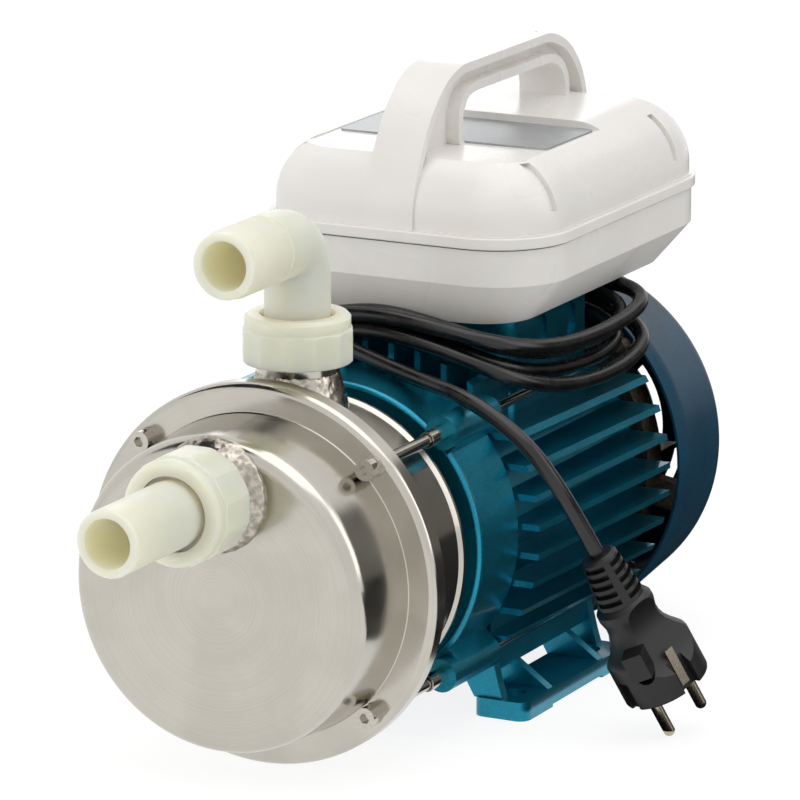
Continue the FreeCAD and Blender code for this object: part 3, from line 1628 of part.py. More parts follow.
nodes = {
    "front_casing": front_casing(),
    "inlet_stub": inlet_stub(),
    "inlet_washer": inlet_washer(),
    "inlet_tail": inlet_tail(),
    "inlet_nut": inlet_nut(),
    "rear_casing": rear_casing(),
    "outlet_stub": outlet_stub(),
    "outlet_washer": outlet_washer(),
    "outlet_elbow": outlet_elbow(),
    "outlet_nut": outlet_nut(),
    "casing_gasket": casing_gasket(),
    "flange_screws": flange_screws(),
    "screw_washers": screw_washers(),
    "spacer_sleeves": spacer_sleeves(),
    "diffuser": diffuser(),
    "impeller": impeller(),
    "impeller_nut": impeller_nut(),
    "seal_seat": seal_seat(),
    "seal_head": seal_head(),
    "water_slinger": water_slinger(),
    "shaft": shaft(),
    "front_bearing_outer": bearing_outer(front_bearing),
    "front_bearing_inner": bearing_inner(front_bearing),
    "front_bearing_balls": bearing_balls(front_bearing),
    "rear_bearing_outer": bearing_outer(rear_bearing),
    "rear_bearing_inner": bearing_inner(rear_bearing),
    "rear_bearing_balls": bearing_balls(rear_bearing),
    "wave_washer": wave_washer(),
    "motor_shield": motor_shield(),
    "stator_core": stator_core(),
    "stator_windings": stator_windings(),
    "rotor_core": rotor_core(),
    "motor_housing": motor_housing(),
    "rear_shield": rear_shield(),
    "tie_rods": tie_rods(),
    "tie_rod_nuts": tie_rod_nuts(),
    "fan": fan(),
    "fan_cover": fan_cover(),
    "fan_cover_screws": fan_cover_screws(),
    "box_base": box_base(),
    "box_gasket": box_gasket(),
    "box_cover": box_cover(),
    "handle_caps": handle_caps(),
    "label_plate": label_plate(),
    "cover_screws": cover_screws(),
    "box_screws": box_screws(),
    "capacitor": capacitor(),
    "terminal_block": terminal_block(),
    "switch_frame": switch_frame(),
    "switch_rocker": switch_rocker(),
    "cable_gland": cable_gland(),
    "cord_feed": cord_feed(),
    "cord_coil": cord_coil(),
    "cord_lead": cord_lead(),
    "plug_boot": plug_boot(),
    "plug_body": plug_body(),
    "plug_pins": plug_pins(),
    "plug_earth_clips": plug_earth_clips(),
}
for name, shape in nodes.items():
    export(name, shape)
    print(name, "solids", len(shape.Solids), "valid", shape.isValid(),
          "volume", round(shape.Volume, 1))
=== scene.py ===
"""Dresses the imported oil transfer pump: its mains lead and plug, small trims, finishes, and the studio it stands in."""
import math

import bmesh
import bpy
from bpy.props import FloatProperty, FloatVectorProperty, IntProperty, PointerProperty
from mathutils import Matrix, Vector


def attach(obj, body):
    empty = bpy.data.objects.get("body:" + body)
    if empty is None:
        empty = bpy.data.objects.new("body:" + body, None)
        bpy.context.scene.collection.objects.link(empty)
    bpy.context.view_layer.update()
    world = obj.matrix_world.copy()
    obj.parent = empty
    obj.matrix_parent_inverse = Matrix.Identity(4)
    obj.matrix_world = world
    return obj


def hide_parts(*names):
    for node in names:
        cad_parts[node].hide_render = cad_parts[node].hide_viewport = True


bl_info = {
    "name": "Oil Transfer Pump",
    "version": (1, 0, 0),
    "blender": (4, 5, 0),
    "location": "3D View > Sidebar > Transfer Pump",
    "description": "Dresses an electric oil transfer pump with its lead, plug, trims and finishes",
    "category": "Object",
}

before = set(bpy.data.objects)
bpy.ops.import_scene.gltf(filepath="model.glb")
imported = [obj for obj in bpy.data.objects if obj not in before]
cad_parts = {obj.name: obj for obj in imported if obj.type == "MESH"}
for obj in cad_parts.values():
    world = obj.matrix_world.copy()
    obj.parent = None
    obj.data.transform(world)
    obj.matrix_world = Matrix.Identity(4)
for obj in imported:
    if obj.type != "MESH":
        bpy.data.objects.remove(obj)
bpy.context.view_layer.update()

MM = 0.001
FLANGE_FROM_ORIGIN = -147.0
SHAFT_HEIGHT = 80.0


def at(x, y, z):
    """A place in the part's frame, in metres, from mm off the shaft's axis and the lid's flange."""
    return Vector((x, y + FLANGE_FROM_ORIGIN, z + SHAFT_HEIGHT)) * MM


def linear(code):
    """An sRGB hex colour as linear RGBA."""
    values = [int(code[i:i + 2], 16) / 255 for i in (0, 2, 4)]
    return [v / 12.92 if v <= 0.04045 else ((v + 0.055) / 1.055) ** 2.4 for v in values] + [1.0]


def smooth_step(x):
    """0 before 0, 1 after 1, and level at both ends."""
    x = min(max(x, 0.0), 1.0)
    return x * x * (3 - 2 * x)


# ---- sizes and colours a user would change ----

class LeadSettings(bpy.types.PropertyGroup):
    diameter: FloatProperty(name="Diameter", description="Outside diameter of the mains lead",
                            default=6.6 * MM, unit="LENGTH")
    turns: IntProperty(name="Turns", description="Turns wound round the pedestal", default=4)
    spread: FloatProperty(name="Spread", description="How far the turns lie from the middle of the winding",
                          default=4.75 * MM, unit="LENGTH")


class PlugSettings(bpy.types.PropertyGroup):
    rows: IntProperty(name="Rows", description="Rows of slots in the plug's boot", default=5)
    pitch: FloatProperty(name="Pitch", description="Distance from one row of slots to the next",
                         default=3.85 * MM, unit="LENGTH")
    slot: FloatProperty(name="Slot", description="Width of a slot in the boot", default=2.2 * MM, unit="LENGTH")
    slot_depth: FloatProperty(name="Slot depth", description="Depth of a slot in the boot",
                              default=2.7 * MM, unit="LENGTH")
    collar: FloatProperty(name="Collar", description="Plain length of the boot above its slots",
                          default=2.6 * MM, unit="LENGTH")


class FinishSettings(bpy.types.PropertyGroup):
    enamel: FloatVectorProperty(name="Enamel", description="Colour of the motor's metallic enamel",
                                size=4, default=linear("128ba6"), subtype="COLOR")
    ivory: FloatVectorProperty(name="Unions", description="Colour of the natural nylon unions",
                               size=4, default=linear("fff6d9"), subtype="COLOR")
    white: FloatVectorProperty(name="Switch box", description="Colour of the switch box and handle",
                               size=4, default=linear("f1eeea"), subtype="COLOR")


class StudioSettings(bpy.types.PropertyGroup):
    lens: FloatProperty(name="Lens", description="Focal length of the camera, mm", default=270.0)
    key: FloatProperty(name="Key lamp", description="Power of the overhead soft box", default=9.0, unit="POWER")
    fill: FloatProperty(name="Fill lamp", description="Power of the side soft box", default=4.0, unit="POWER")


# ---- the mains lead ----

# Each list is in mm off the shaft's axis and the lid's flange.
GLAND_TIP = (-75.0, 190.0, 78.0)
FEED_ROUTE = ((-83.2, 190.0, 71.5), (-88.5, 182.5, 64.0), (-88.0, 169.5, 58.8), (-81.0, 157.0, 57.0),
              (-71.0, 146.0, 58.5), (-62.0, 137.0, 62.0))
COIL_ROUTE = ((0, 97, 82.9), (26, 97.5, 79), (45, 103, 73), (56, 118, 67), (60, 140, 63), (62, 165, 61),
              (62.5, 190, 61), (60, 207, 64), (47, 214, 70.5), (25, 214, 73.5), (0, 213.5, 74),
              (-25, 214, 73.5), (-46, 212, 70.5), (-57, 202, 65.5), (-60, 184, 62.5), (-59, 160, 62),
              (-58, 135, 64.5), (-53, 114, 69), (-41, 101, 74.5), (-22, 97, 80))
LEAD_ROUTE = ((-24, 92, 77), (-11, 89, 72.2), (5.9, 83.5, 69.1), (27.9, 78, 65), (51.5, 68.5, 63),
              (66.8, 67, 56.7), (83.9, 65, 46.3), (93.7, 70, 31), (99.6, 81.7, 11.3))
PLUG_START = (104.3, 86.4, -1.0)
COIL_MIDDLE = (0, 155)
FIRST_JOIN = 17
# How far each turn fans out of the winding at the right hand side, outward and up, in mm.
FAN_OUT = ((2.0, -6.5), (-1.0, -1.5), (1.0, 0.5), (1.5, 4.5))
# The same at the right rear corner, where the turns are widest.
CORNER_OUT = ((5.0, 1.5), (1.0, 0.0), (3.0, 3.0), (4.5, 7.0))


def coil_point(turn, index, spread):
    """A point of one turn: its place in the winding turns a quarter on as the lead passes round the back."""
    x, y, z = COIL_ROUTE[index]
    outward = Vector((x - COIL_MIDDLE[0], y - COIL_MIDDLE[1])).normalized()
    station = index if index < FIRST_JOIN else index - len(COIL_ROUTE)
    angle = math.radians(-45 - 90 * (turn + smooth_step((station - 7.5) / 8)))
    reach = spread / MM
    out, up = reach * math.cos(angle), reach * math.sin(angle)
    side = smooth_step(1 - abs(station - 4.5) / 4.5) if 0 < station < 9 else 0
    corner = smooth_step(1 - abs(station - 7) / 3) if 4 < station < 10 else 0
    if turn < len(FAN_OUT):
        out += FAN_OUT[turn][0] * side + CORNER_OUT[turn][0] * corner
        up += FAN_OUT[turn][1] * side + CORNER_OUT[turn][1] * corner
    else:
        out += 6.0
    return at(x + outward.x * out, y + outward.y * out, z + up)


def lead_route(turns, spread):
    """Control points of the whole lead, from the gland round the pedestal to the plug."""
    points = [at(*GLAND_TIP)] + [at(*p) for p in FEED_ROUTE]
    count = len(COIL_ROUTE)
    for turn in range(turns):
        for step in range(count):
            points.append(coil_point(turn, (FIRST_JOIN + step) % count, spread))
    points += [coil_point(turns, FIRST_JOIN, spread), coil_point(turns, FIRST_JOIN + 1, spread)]
    return points + [at(*p) for p in LEAD_ROUTE] + [at(*PLUG_START)]


class PUMP_OT_mains_lead(bpy.types.Operator):
    """Lays the mains lead from its gland, round the pedestal and down to the plug"""
    bl_idname = "pump.mains_lead"
    bl_label = "Mains Lead"

    def execute(self, context):
        choice = context.scene.pump_lead
        curve = bpy.data.curves.new("mains_lead", "CURVE")
        curve.dimensions = "3D"
        points = lead_route(choice.turns, choice.spread)
        spline = curve.splines.new("NURBS")
        spline.points.add(len(points) - 1)
        for point, place in zip(spline.points, points):
            point.co = (*place, 1.0)
        spline.order_u = 3
        spline.use_endpoint_u = True
        spline.resolution_u = 12
        curve.bevel_depth = choice.diameter / 2
        curve.bevel_resolution = 6
        curve.use_fill_caps = True
        lead = bpy.data.objects.new("mains_lead", curve)
        context.scene.collection.objects.link(lead)
        lead.data.materials.append(finish("lead_pvc"))
        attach(lead, "pump")
        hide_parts("cord_feed", "cord_coil", "cord_lead")
        return {"FINISHED"}


# ---- modelling by hand ----

def start_solid(name, profile, sides, turn=0.0):
    """A closed turned solid: a disc drawn up and scaled through pairs of height and radius, in mm."""
    bpy.ops.object.select_all(action="DESELECT")
    height, radius = profile[0]
    bpy.ops.mesh.primitive_circle_add(vertices=sides, radius=radius * MM, fill_type="NGON",
                                      location=(0, 0, height * MM), rotation=(0, 0, turn))
    bpy.ops.object.transform_apply(location=True, rotation=True, scale=True)
    solid = bpy.context.object
    solid.name = name
    bpy.ops.object.mode_set(mode="EDIT")
    bpy.ops.mesh.select_all(action="SELECT")
    for here, there in zip(profile, profile[1:]):
        bpy.ops.mesh.extrude_region_move(TRANSFORM_OT_translate={"value": (0, 0, (there[0] - here[0]) * MM)})
        scale = there[1] / here[1]
        bpy.ops.transform.resize(value=(scale, scale, 1), center_override=(0, 0, there[0] * MM))
    bpy.ops.mesh.select_all(action="SELECT")
    bpy.ops.mesh.normals_make_consistent(inside=False)
    bpy.ops.object.mode_set(mode="OBJECT")
    return solid


def start_block(name, low, high):
    """A block between two corners, in mm."""
    bpy.ops.object.select_all(action="DESELECT")
    middle = [(a + b) / 2 * MM for a, b in zip(low, high)]
    bpy.ops.mesh.primitive_cube_add(size=1.0, location=middle)
    block = bpy.context.object
    block.name = name
    block.scale = [(b - a) * MM for a, b in zip(low, high)]
    bpy.ops.object.transform_apply(location=True, rotation=True, scale=True)
    return block


def pick_faces(test):
    """In edit mode, selects the faces whose middle (in mm) and normal pass a test."""
    mesh = bmesh.from_edit_mesh(bpy.context.object.data)
    bpy.ops.mesh.select_all(action="DESELECT")
    for face in mesh.faces:
        face.select = bool(test(face.calc_center_median() / MM, face.normal))
    mesh.select_flush_mode()
    bmesh.update_edit_mesh(bpy.context.object.data)


def modify(piece, kind, **settings):
    """Adds a modifier and applies it."""
    bpy.context.view_layer.objects.active = piece
    modifier = piece.modifiers.new(kind.title(), kind)
    for name, value in settings.items():
        setattr(modifier, name, value)
    bpy.ops.object.modifier_apply(modifier=modifier.name)


def carve(piece, cutters):
    """Cuts each of the cutters out of a piece, and removes them."""
    for cutter in cutters:
        modify(piece, "BOOLEAN", object=cutter, operation="DIFFERENCE", solver="EXACT")
        bpy.data.objects.remove(cutter, do_unlink=True)


def soften(piece, width_mm, angle=30.0, segments=4):
    """Rounds a piece's sharp edges and smooths what lies between them."""
    modify(piece, "BEVEL", width=width_mm * MM, segments=segments, limit_method="ANGLE",
           angle_limit=math.radians(angle))
    bpy.ops.object.select_all(action="DESELECT")
    piece.select_set(True)
    bpy.context.view_layer.objects.active = piece
    bpy.ops.object.shade_smooth_by_angle(angle=math.radians(24))
    modify(piece, "WEIGHTED_NORMAL", keep_sharp=True, weight=60)


def settle(piece, placing=None):
    """Moves a piece to its place and leaves its object at the origin."""
    bpy.ops.object.select_all(action="DESELECT")
    piece.select_set(True)
    bpy.context.view_layer.objects.active = piece
    if placing is not None:
        piece.matrix_world = placing @ piece.matrix_world
    bpy.ops.object.transform_apply(location=True, rotation=True, scale=True)


def dress(piece, material, body="pump", instead_of=()):
    """Gives a finished piece its finish, its body and the nodes that it stands for."""
    piece.data.materials.clear()
    piece.data.materials.append(finish(material))
    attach(piece, body)
    if instead_of:
        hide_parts(*instead_of)
    return piece


# ---- the mains plug ----

PLUG_AXIS = Vector((0.335, 0.335, -0.881))
PLUG_PIN_LINE = Vector((0.364, 0.816, 0.449))
BOOT_LENGTH = 22.0
BOOT_SPINE_ANGLE = 20.0
FACE = 65.0


def plug_place():
    """Turns a piece built up the Z axis, its pins apart along X, to where the plug lies."""
    axis = PLUG_AXIS.normalized()
    line = (PLUG_PIN_LINE - axis * PLUG_PIN_LINE.dot(axis)).normalized()
    turn = Matrix((line, axis.cross(line), axis)).transposed().to_4x4()
    return Matrix.Translation(at(*PLUG_START)) @ turn


def bend_relief(choice):
    """Tapered boot: a collar, then five rows of slots on both sides of four spines."""
    slope = (10.1 - 7.8) / BOOT_LENGTH
    profile = [(0.0, 6.2), (0.5, 7.2), (1.4, 7.8), (BOOT_LENGTH - 0.6, 7.8 + slope * BOOT_LENGTH),
               (BOOT_LENGTH + 0.5, 7.8 + slope * BOOT_LENGTH)]
    boot = start_solid("plug_boot_ribbed", profile, 96)
    slots = []
    for row in range(choice.rows):
        low = (choice.collar + row * choice.pitch) / MM
        floor = (7.8 + slope * low) - choice.slot_depth / MM
        half = 0.57 * (7.8 + slope * low)
        for quarter in range(4):
            slot = start_block("slot", (floor, -half, low), (14.0, half, low + choice.slot / MM))
            settle(slot, Matrix.Rotation(math.radians(BOOT_SPINE_ANGLE + 45 + 90 * quarter), 4, "Z"))
            slots.append(slot)
    carve(boot, slots)
    soften(boot, 0.22)
    settle(boot, plug_place())
    return dress(boot, "matt_black", instead_of=("plug_boot",))


def plug_cutters():
    """What is cut out of the plug: contact grooves, key notches, lever pockets and finger scoops."""
    cutters = []
    for side in (-1, 1):
        low, high = sorted((side * 14.0, side * 22.0))
        cutters.append(start_block("groove", (-4.4, low, FACE - 18.0), (4.4, high, FACE + 2)))
        low, high = sorted((side * 16.1, side * 22.0))
        cutters.append(start_block("notch", (low, -3.0, FACE - 13.0), (high, 3.0, FACE + 2)))
        low, high = sorted((side * 13.6, side * 15.0))
        cutters.append(start_block("seat", (-2.02, low, FACE - 19.02), (2.02, high, FACE - 1.98)))
        scoop = start_solid("scoop", [(-20.0, 26.0), (20.0, 26.0)], 96)
        settle(scoop, Matrix.Translation((0, side * 34.6 * MM, 35.0 * MM)) @ Matrix.Rotation(math.pi / 2, 4, "Y"))
        cutters.append(scoop)
        turn = Matrix.Rotation(math.radians(140 * side), 4, "Z")
        rounded = start_solid("pocket_end", [(0.0, 4.3), (9.0, 4.3)], 40)
        settle(rounded, turn @ Matrix.Translation((13.4 * MM, 0, (FACE - 15.5) * MM)) @ Matrix.Rotation(math.pi / 2, 4, "Y"))
        straight = start_block("pocket", (13.4, -4.29, FACE - 27.0), (22.4, 4.29, FACE - 15.5))
        settle(straight, turn)
        cutters += [rounded, straight]
    for x in (-9.5, 9.5):
        bore = start_solid("bore", [(FACE - 8.0, 1.92), (FACE + 1, 1.92)], 24)
        settle(bore, Matrix.Translation((x * MM, 0, 0)))
        cutters.append(bore)
    return cutters


def plug_grip():
    """Body of the plug: shoulder, waist and round head, with its grooves, pockets and scooped sides."""
    grip = start_solid("plug_grip", [
        (22.0, 10.0), (22.6, 10.9), (24.4, 12.2), (26.8, 12.3), (28.6, 11.9), (31.0, 11.3), (34.0, 11.5),
        (37.5, 12.7), (41.0, 15.0), (43.4, 17.0), (44.8, 18.1), (46.0, 18.5), (50.0, 18.5), (56.0, 18.5),
        (64.0, 18.5), (64.7, 18.2), (65.0, 17.6)], 96)
    carve(grip, plug_cutters())
    soften(grip, 0.3)
    settle(grip, plug_place())
    return dress(grip, "matt_black", instead_of=("plug_body",))


# ---- trims that the casting and the welder left ----

def ring_bead(name, radius_mm, thick_mm, rounds, sides):
    """A round bead about the Z axis."""
    bpy.ops.object.select_all(action="DESELECT")
    bpy.ops.mesh.primitive_torus_add(major_radius=radius_mm * MM, minor_radius=thick_mm * MM, major_segments=rounds,
                                     minor_segments=sides)
    bead = bpy.context.object
    bead.name = name
    bpy.ops.object.shade_smooth()
    return bead


def ruffle(piece, grain_mm, depth_mm):
    """Presses a lumpy relief into a piece."""
    lumps = bpy.data.textures.new(piece.name + "_lumps", "CLOUDS")
    lumps.noise_scale = grain_mm * MM
    modify(piece, "DISPLACE", texture=lumps, texture_coords="GLOBAL", strength=depth_mm * MM, mid_level=0.5)


def weld_fillet(name, profile):
    """A welded fillet round a stub, built up the Z axis and shaded smooth."""
    fillet = start_solid(name, profile, 160)
    bpy.ops.object.select_all(action="DESELECT")
    fillet.select_set(True)
    bpy.ops.object.shade_smooth_by_angle(angle=math.radians(60))
    return fillet


def shield_rim():
    """Rounded rim round the front of the motor's end bell."""
    rim = ring_bead("shield_rim", 63.3, 2.1, 160, 20)
    settle(rim, Matrix.Translation(at(0, 61.2, 0)) @ Matrix.Rotation(math.pi / 2, 4, "X"))
    dress(rim, "cast_enamel")


def outlet_weld():
    """Rippled fillet between the outlet stub and the casing."""
    steps = [(62.5 + i, 20.6 - 0.26 * i) for i in range(15)] + [(77.3, 16.5)]
    fillet = weld_fillet("outlet_weld", steps)
    ruffle(fillet, 2.6, 0.9)
    settle(fillet, Matrix.Translation(at(0, 26.0, 0)))
    dress(fillet, "weld_metal")


def inlet_weld():
    """Rippled fillet between the inlet stub and the lid."""
    steps = [(0.0, 23.6), (1.0, 23.4), (2.0, 22.9), (3.0, 22.0), (4.0, 21.0), (5.0, 20.1), (6.0, 19.2), (7.0, 18.4),
             (8.0, 17.6), (9.0, 16.9)]
    fillet = weld_fillet("inlet_weld", steps)
    ruffle(fillet, 2.6, 0.9)
    settle(fillet, Matrix.Translation(at(0, -44.2, 42.0)) @ Matrix.Rotation(math.pi / 2, 4, "X"))
    dress(fillet, "weld_metal")


def rounded_slab(name, half_width, front, rear, low, high, corner):
    """A slab with rounded upright edges, in mm off the shaft's axis and the lid's flange."""
    slab = start_block(name, (-half_width, front, low), (half_width, rear, high))
    bpy.ops.object.mode_set(mode="EDIT")
    mesh = bmesh.from_edit_mesh(slab.data)
    bpy.ops.mesh.select_mode(type="EDGE")
    bpy.ops.mesh.select_all(action="DESELECT")
    for edge in mesh.edges:
        along = edge.verts[1].co - edge.verts[0].co
        edge.select = abs(along.z) > 0.9 * along.length
    bmesh.update_edit_mesh(slab.data)
    bpy.ops.mesh.bevel(offset=corner * MM, segments=16, affect="EDGES")
    bpy.ops.mesh.select_mode(type="VERT")
    bpy.ops.object.mode_set(mode="OBJECT")
    return slab


def cover_lip():
    """Lip that stands out all round the bottom of the box cover."""
    lip = rounded_slab("cover_lip", 67.6, 103.4, 286.6, 114.7, 119.4, 33.6)
    carve(lip, [rounded_slab("inside", 65.7, 105.3, 284.7, 110.0, 125.0, 31.7)])
    soften(lip, 0.6)
    settle(lip, Matrix.Translation(at(0, 0, 0)))
    dress(lip, "moulded_white")


class PUMP_OT_trims(bpy.types.Operator):
    """Adds the rounded rim of the end bell, the welds round both ports and the lip of the box cover"""
    bl_idname = "pump.trims"
    bl_label = "Trims"

    def execute(self, context):
        shield_rim()
        outlet_weld()
        inlet_weld()
        cover_lip()
        return {"FINISHED"}


class PUMP_OT_mains_plug(bpy.types.Operator):
    """Models the plug's ribbed boot and its moulded body round the CAD pins"""
    bl_idname = "pump.mains_plug"
    bl_label = "Mains Plug"

    def execute(self, context):
        bend_relief(context.scene.pump_plug)
        plug_grip()
        return {"FINISHED"}


# ---- finishes ----

def add_node(tree, kind, inputs=None, **settings):
    """Adds one node with its settings, and links or sets its inputs."""
    node = tree.nodes.new(kind)
    for name, value in settings.items():
        setattr(node, name, value)
    for socket, value in (inputs or {}).items():
        if isinstance(value, bpy.types.NodeSocket):
            tree.links.new(value, node.inputs[socket])
        else:
            node.inputs[socket].default_value = value
    return node


def start_finish(name, **sockets):
    """A material with one Principled shader, its even values set on its own sockets."""
    material = bpy.data.materials.new(name)
    material.use_nodes = True
    tree = material.node_tree
    tree.nodes.clear()
    shader = add_node(tree, "ShaderNodeBsdfPrincipled")
    for socket, value in sockets.items():
        shader.inputs[socket.replace("_", " ").title().replace("Ior", "IOR")].default_value = value
    add_node(tree, "ShaderNodeOutputMaterial", {"Surface": shader.outputs[0]})
    place = add_node(tree, "ShaderNodeTexCoord").outputs["Object"]
    return material, tree, shader, place


def noise(tree, place, size_mm, detail=3.0, stretch=(1, 1, 1)):
    """Noise whose grains are about so many mm across, drawn out along an axis where stretch is under 1."""
    scaled = add_node(tree, "ShaderNodeMapping", {"Vector": place, "Scale": [s / (size_mm * MM) for s in stretch]})
    return add_node(tree, "ShaderNodeTexNoise", {"Vector": scaled.outputs[0], "Scale": 1.0, "Detail": detail}).outputs["Fac"]


def round_the_shaft(tree, place):
    """Radius from the shaft's axis and station along it, so that a pattern runs in rings."""
    flat = add_node(tree, "ShaderNodeMapping", {"Vector": place, "Location": (0, 0, -SHAFT_HEIGHT * MM), "Scale": (1, 0, 1)})
    radius = add_node(tree, "ShaderNodeVectorMath", {0: flat.outputs[0]}, operation="LENGTH").outputs["Value"]
    along = add_node(tree, "ShaderNodeSeparateXYZ", {0: place}).outputs["Y"]
    return add_node(tree, "ShaderNodeCombineXYZ", {"X": radius, "Y": along}).outputs[0]


def between(tree, value, low, high, from_low=0.3, from_high=0.7):
    """Maps a pattern onto a range of numbers."""
    return add_node(tree, "ShaderNodeMapRange", {"Value": value, "From Min": from_low, "From Max": from_high,
                                                 "To Min": low, "To Max": high}, interpolation_type="SMOOTHSTEP").outputs[0]


def two_tone(tree, value, first, second):
    """A colour that goes from the first to the second with a pattern."""
    return add_node(tree, "ShaderNodeMix", {0: value, 6: first, 7: second}, data_type="RGBA").outputs[2]


def bumped(tree, shader, height, depth_mm):
    """Gives a shader a relief of so many mm."""
    bump = add_node(tree, "ShaderNodeBump", {"Height": height, "Distance": depth_mm * MM, "Strength": 1.0})
    tree.links.new(bump.outputs[0], shader.inputs["Normal"])


def spun_stainless(choice):
    # Deep drawn 304 sheet, spun and buffed: faintly cloudy, with fine rings 0.4 mm apart left by the buff.
    material, tree, shader, place = start_finish("spun_stainless", metallic=1.0)
    cloud = noise(tree, place, 22.0)
    rings = noise(tree, round_the_shaft(tree, place), 0.4, 2.0)
    tone = two_tone(tree, between(tree, cloud, 0.0, 1.0), linear("bdb9b0"), linear("c6c2b9"))
    tree.links.new(two_tone(tree, between(tree, rings, 0.0, 0.35), tone, linear("b3afa6")), shader.inputs["Base Color"])
    tree.links.new(between(tree, cloud, 0.13, 0.22), shader.inputs["Roughness"])
    bumped(tree, shader, rings, 0.0025)
    return material


def weld_metal(choice):
    # Hand laid TIG weld in stainless, left as welded: rippled, dark between its bright crests.
    material, tree, shader, place = start_finish("weld_metal", metallic=1.0)
    ripple = noise(tree, place, 2.4, 2.0)
    tree.links.new(two_tone(tree, between(tree, ripple, 0.0, 1.0), linear("948d82"), linear("bdb7ac")),
                   shader.inputs["Base Color"])
    tree.links.new(between(tree, ripple, 0.34, 0.18), shader.inputs["Roughness"])
    bumped(tree, shader, ripple, 0.15)
    return material


def bright_zinc(choice):
    # Zinc plated steel, passivated clear: grey bright metal with a slightly mottled grain.
    material, tree, shader, place = start_finish("bright_zinc", metallic=1.0)
    grain = noise(tree, place, 1.2)
    tree.links.new(two_tone(tree, between(tree, grain, 0.0, 1.0), linear("b8b4ab"), linear("c4c0b7")),
                   shader.inputs["Base Color"])
    tree.links.new(between(tree, grain, 0.1, 0.17), shader.inputs["Roughness"])
    bumped(tree, shader, grain, 0.002)
    return material


def ground_steel(choice):
    # Hardened bearing steel, ground: clean, dark and mirror like.
    material, tree, shader, place = start_finish("ground_steel", metallic=1.0)
    grain = noise(tree, place, 0.8)
    tree.links.new(two_tone(tree, grain, linear("8f8f8c"), linear("a5a5a2")), shader.inputs["Base Color"])
    tree.links.new(between(tree, grain, 0.12, 0.2), shader.inputs["Roughness"])
    return material


def stacked_laminations(choice):
    # Stacked electrical steel sheets, 0.5 mm each, drawn at 1 mm so that they show: dull with fine lines round.
    material, tree, shader, place = start_finish("stacked_laminations", metallic=1.0, roughness=0.5)
    lines = add_node(tree, "ShaderNodeTexWave", {"Vector": place, "Scale": 300.0, "Distortion": 0.0},
                     bands_direction="Y").outputs["Fac"]
    tree.links.new(two_tone(tree, lines, linear("4c4b49"), linear("6f6d6a")), shader.inputs["Base Color"])
    bumped(tree, shader, lines, 0.1)
    return material


def enamelled_copper(choice):
    # Enamelled copper wire, 0.7 mm, varnished: warm brown metal with lines along the slots.
    material, tree, shader, place = start_finish("enamelled_copper", metallic=0.9, roughness=0.35, coat_weight=0.5)
    wires = noise(tree, place, 0.8, 2.0, (1, 0.05, 1))
    tree.links.new(two_tone(tree, between(tree, wires, 0.0, 1.0), linear("7a3b1c"), linear("b9683a")),
                   shader.inputs["Base Color"])
    bumped(tree, shader, wires, 0.2)
    return material


def enamel_on(name, base, shade, metallic, rough, peel_mm, coat, specular=0.5):
    """Sprayed metallic enamel: fine bright flakes under a clear layer with the slight ripple of spray."""
    material, tree, shader, place = start_finish(name, metallic=metallic, coat_weight=coat, coat_roughness=0.08,
                                                 specular_ior_level=specular)
    flake = add_node(tree, "ShaderNodeTexVoronoi", {"Vector": place, "Scale": 1 / (0.45 * MM)}).outputs["Color"]
    sparkle = add_node(tree, "ShaderNodeSeparateColor", {0: flake}).outputs[0]
    drift = noise(tree, place, 30.0)
    tone = two_tone(tree, between(tree, drift, 0.0, 1.0), shade, base)
    bright = [min(1.0, c * 1.5) for c in base[:3]] + [1.0]
    tree.links.new(two_tone(tree, between(tree, sparkle, 0.0, 0.5, 0.75, 1.0), tone, bright),
                   shader.inputs["Base Color"])
    tree.links.new(between(tree, sparkle, rough, rough + 0.12, 0.0, 1.0), shader.inputs["Roughness"])
    bumped(tree, shader, noise(tree, place, peel_mm, 2.0), 0.03)
    return material


def cast_enamel(choice):
    # Metallic enamel on cast aluminium, whose skin shows through as a soft ripple.
    return enamel_on("cast_enamel", list(choice.enamel), linear("0c7891"), 0.85, 0.28, 3.5, 0.3)


def pressed_enamel_painted_shade(choice):
    # The same enamel on smooth pressed steel sheet, flatter and with little gloss. Its darker blue is painted shade: a
    # shaded copy of the motor's enamel.
    return enamel_on("pressed_enamel_painted_shade", linear("0d4058"), linear("0b364b"), 0.0, 0.34, 9.0, 0.05, 0.3)


def casting_with_painted_reflection(choice):
    # Die cast aluminium left unpainted: brownish grey, dull, with the fine skin of the mould. The brownish tint is a
    # painted reflection of warm surroundings.
    material, tree, shader, place = start_finish("casting_with_painted_reflection", metallic=1.0)
    skin = noise(tree, place, 1.5)
    # Both browns carry the painted warm reflection; the skin pattern between them is the casting's own.
    tree.links.new(two_tone(tree, between(tree, skin, 0.0, 1.0), linear("4a4038"), linear("6a5d50")),
                   shader.inputs["Base Color"])
    tree.links.new(between(tree, skin, 0.42, 0.6), shader.inputs["Roughness"])
    bumped(tree, shader, skin, 0.03)
    return material


def turned_bronze(choice):
    # Cast tin bronze, turned: yellow brown with fine tool lines round.
    material, tree, shader, place = start_finish("turned_bronze", metallic=1.0)
    lines = noise(tree, place, 0.6, 2.0, (1, 0.3, 1))
    tree.links.new(two_tone(tree, lines, linear("8f6a38"), linear("b58d52")), shader.inputs["Base Color"])
    tree.links.new(between(tree, lines, 0.25, 0.4), shader.inputs["Roughness"])
    bumped(tree, shader, lines, 0.02)
    return material


def natural_nylon(choice):
    # Glass filled nylon, moulded uncoloured: cream, waxy and see-through at its thin edges, with soft flow clouds.
    material, tree, shader, place = start_finish("natural_nylon", ior=1.53, subsurface_weight=1.0,
                                                 subsurface_scale=0.014, subsurface_radius=(1.0, 0.89, 0.61))
    cloud = noise(tree, place, 14.0)
    tree.links.new(two_tone(tree, between(tree, cloud, 0.0, 1.0), list(choice.ivory), linear("fdf3d2")),
                   shader.inputs["Base Color"])
    tree.links.new(between(tree, cloud, 0.34, 0.46), shader.inputs["Roughness"])
    bumped(tree, shader, noise(tree, place, 2.2, 3.0), 0.03)
    return material


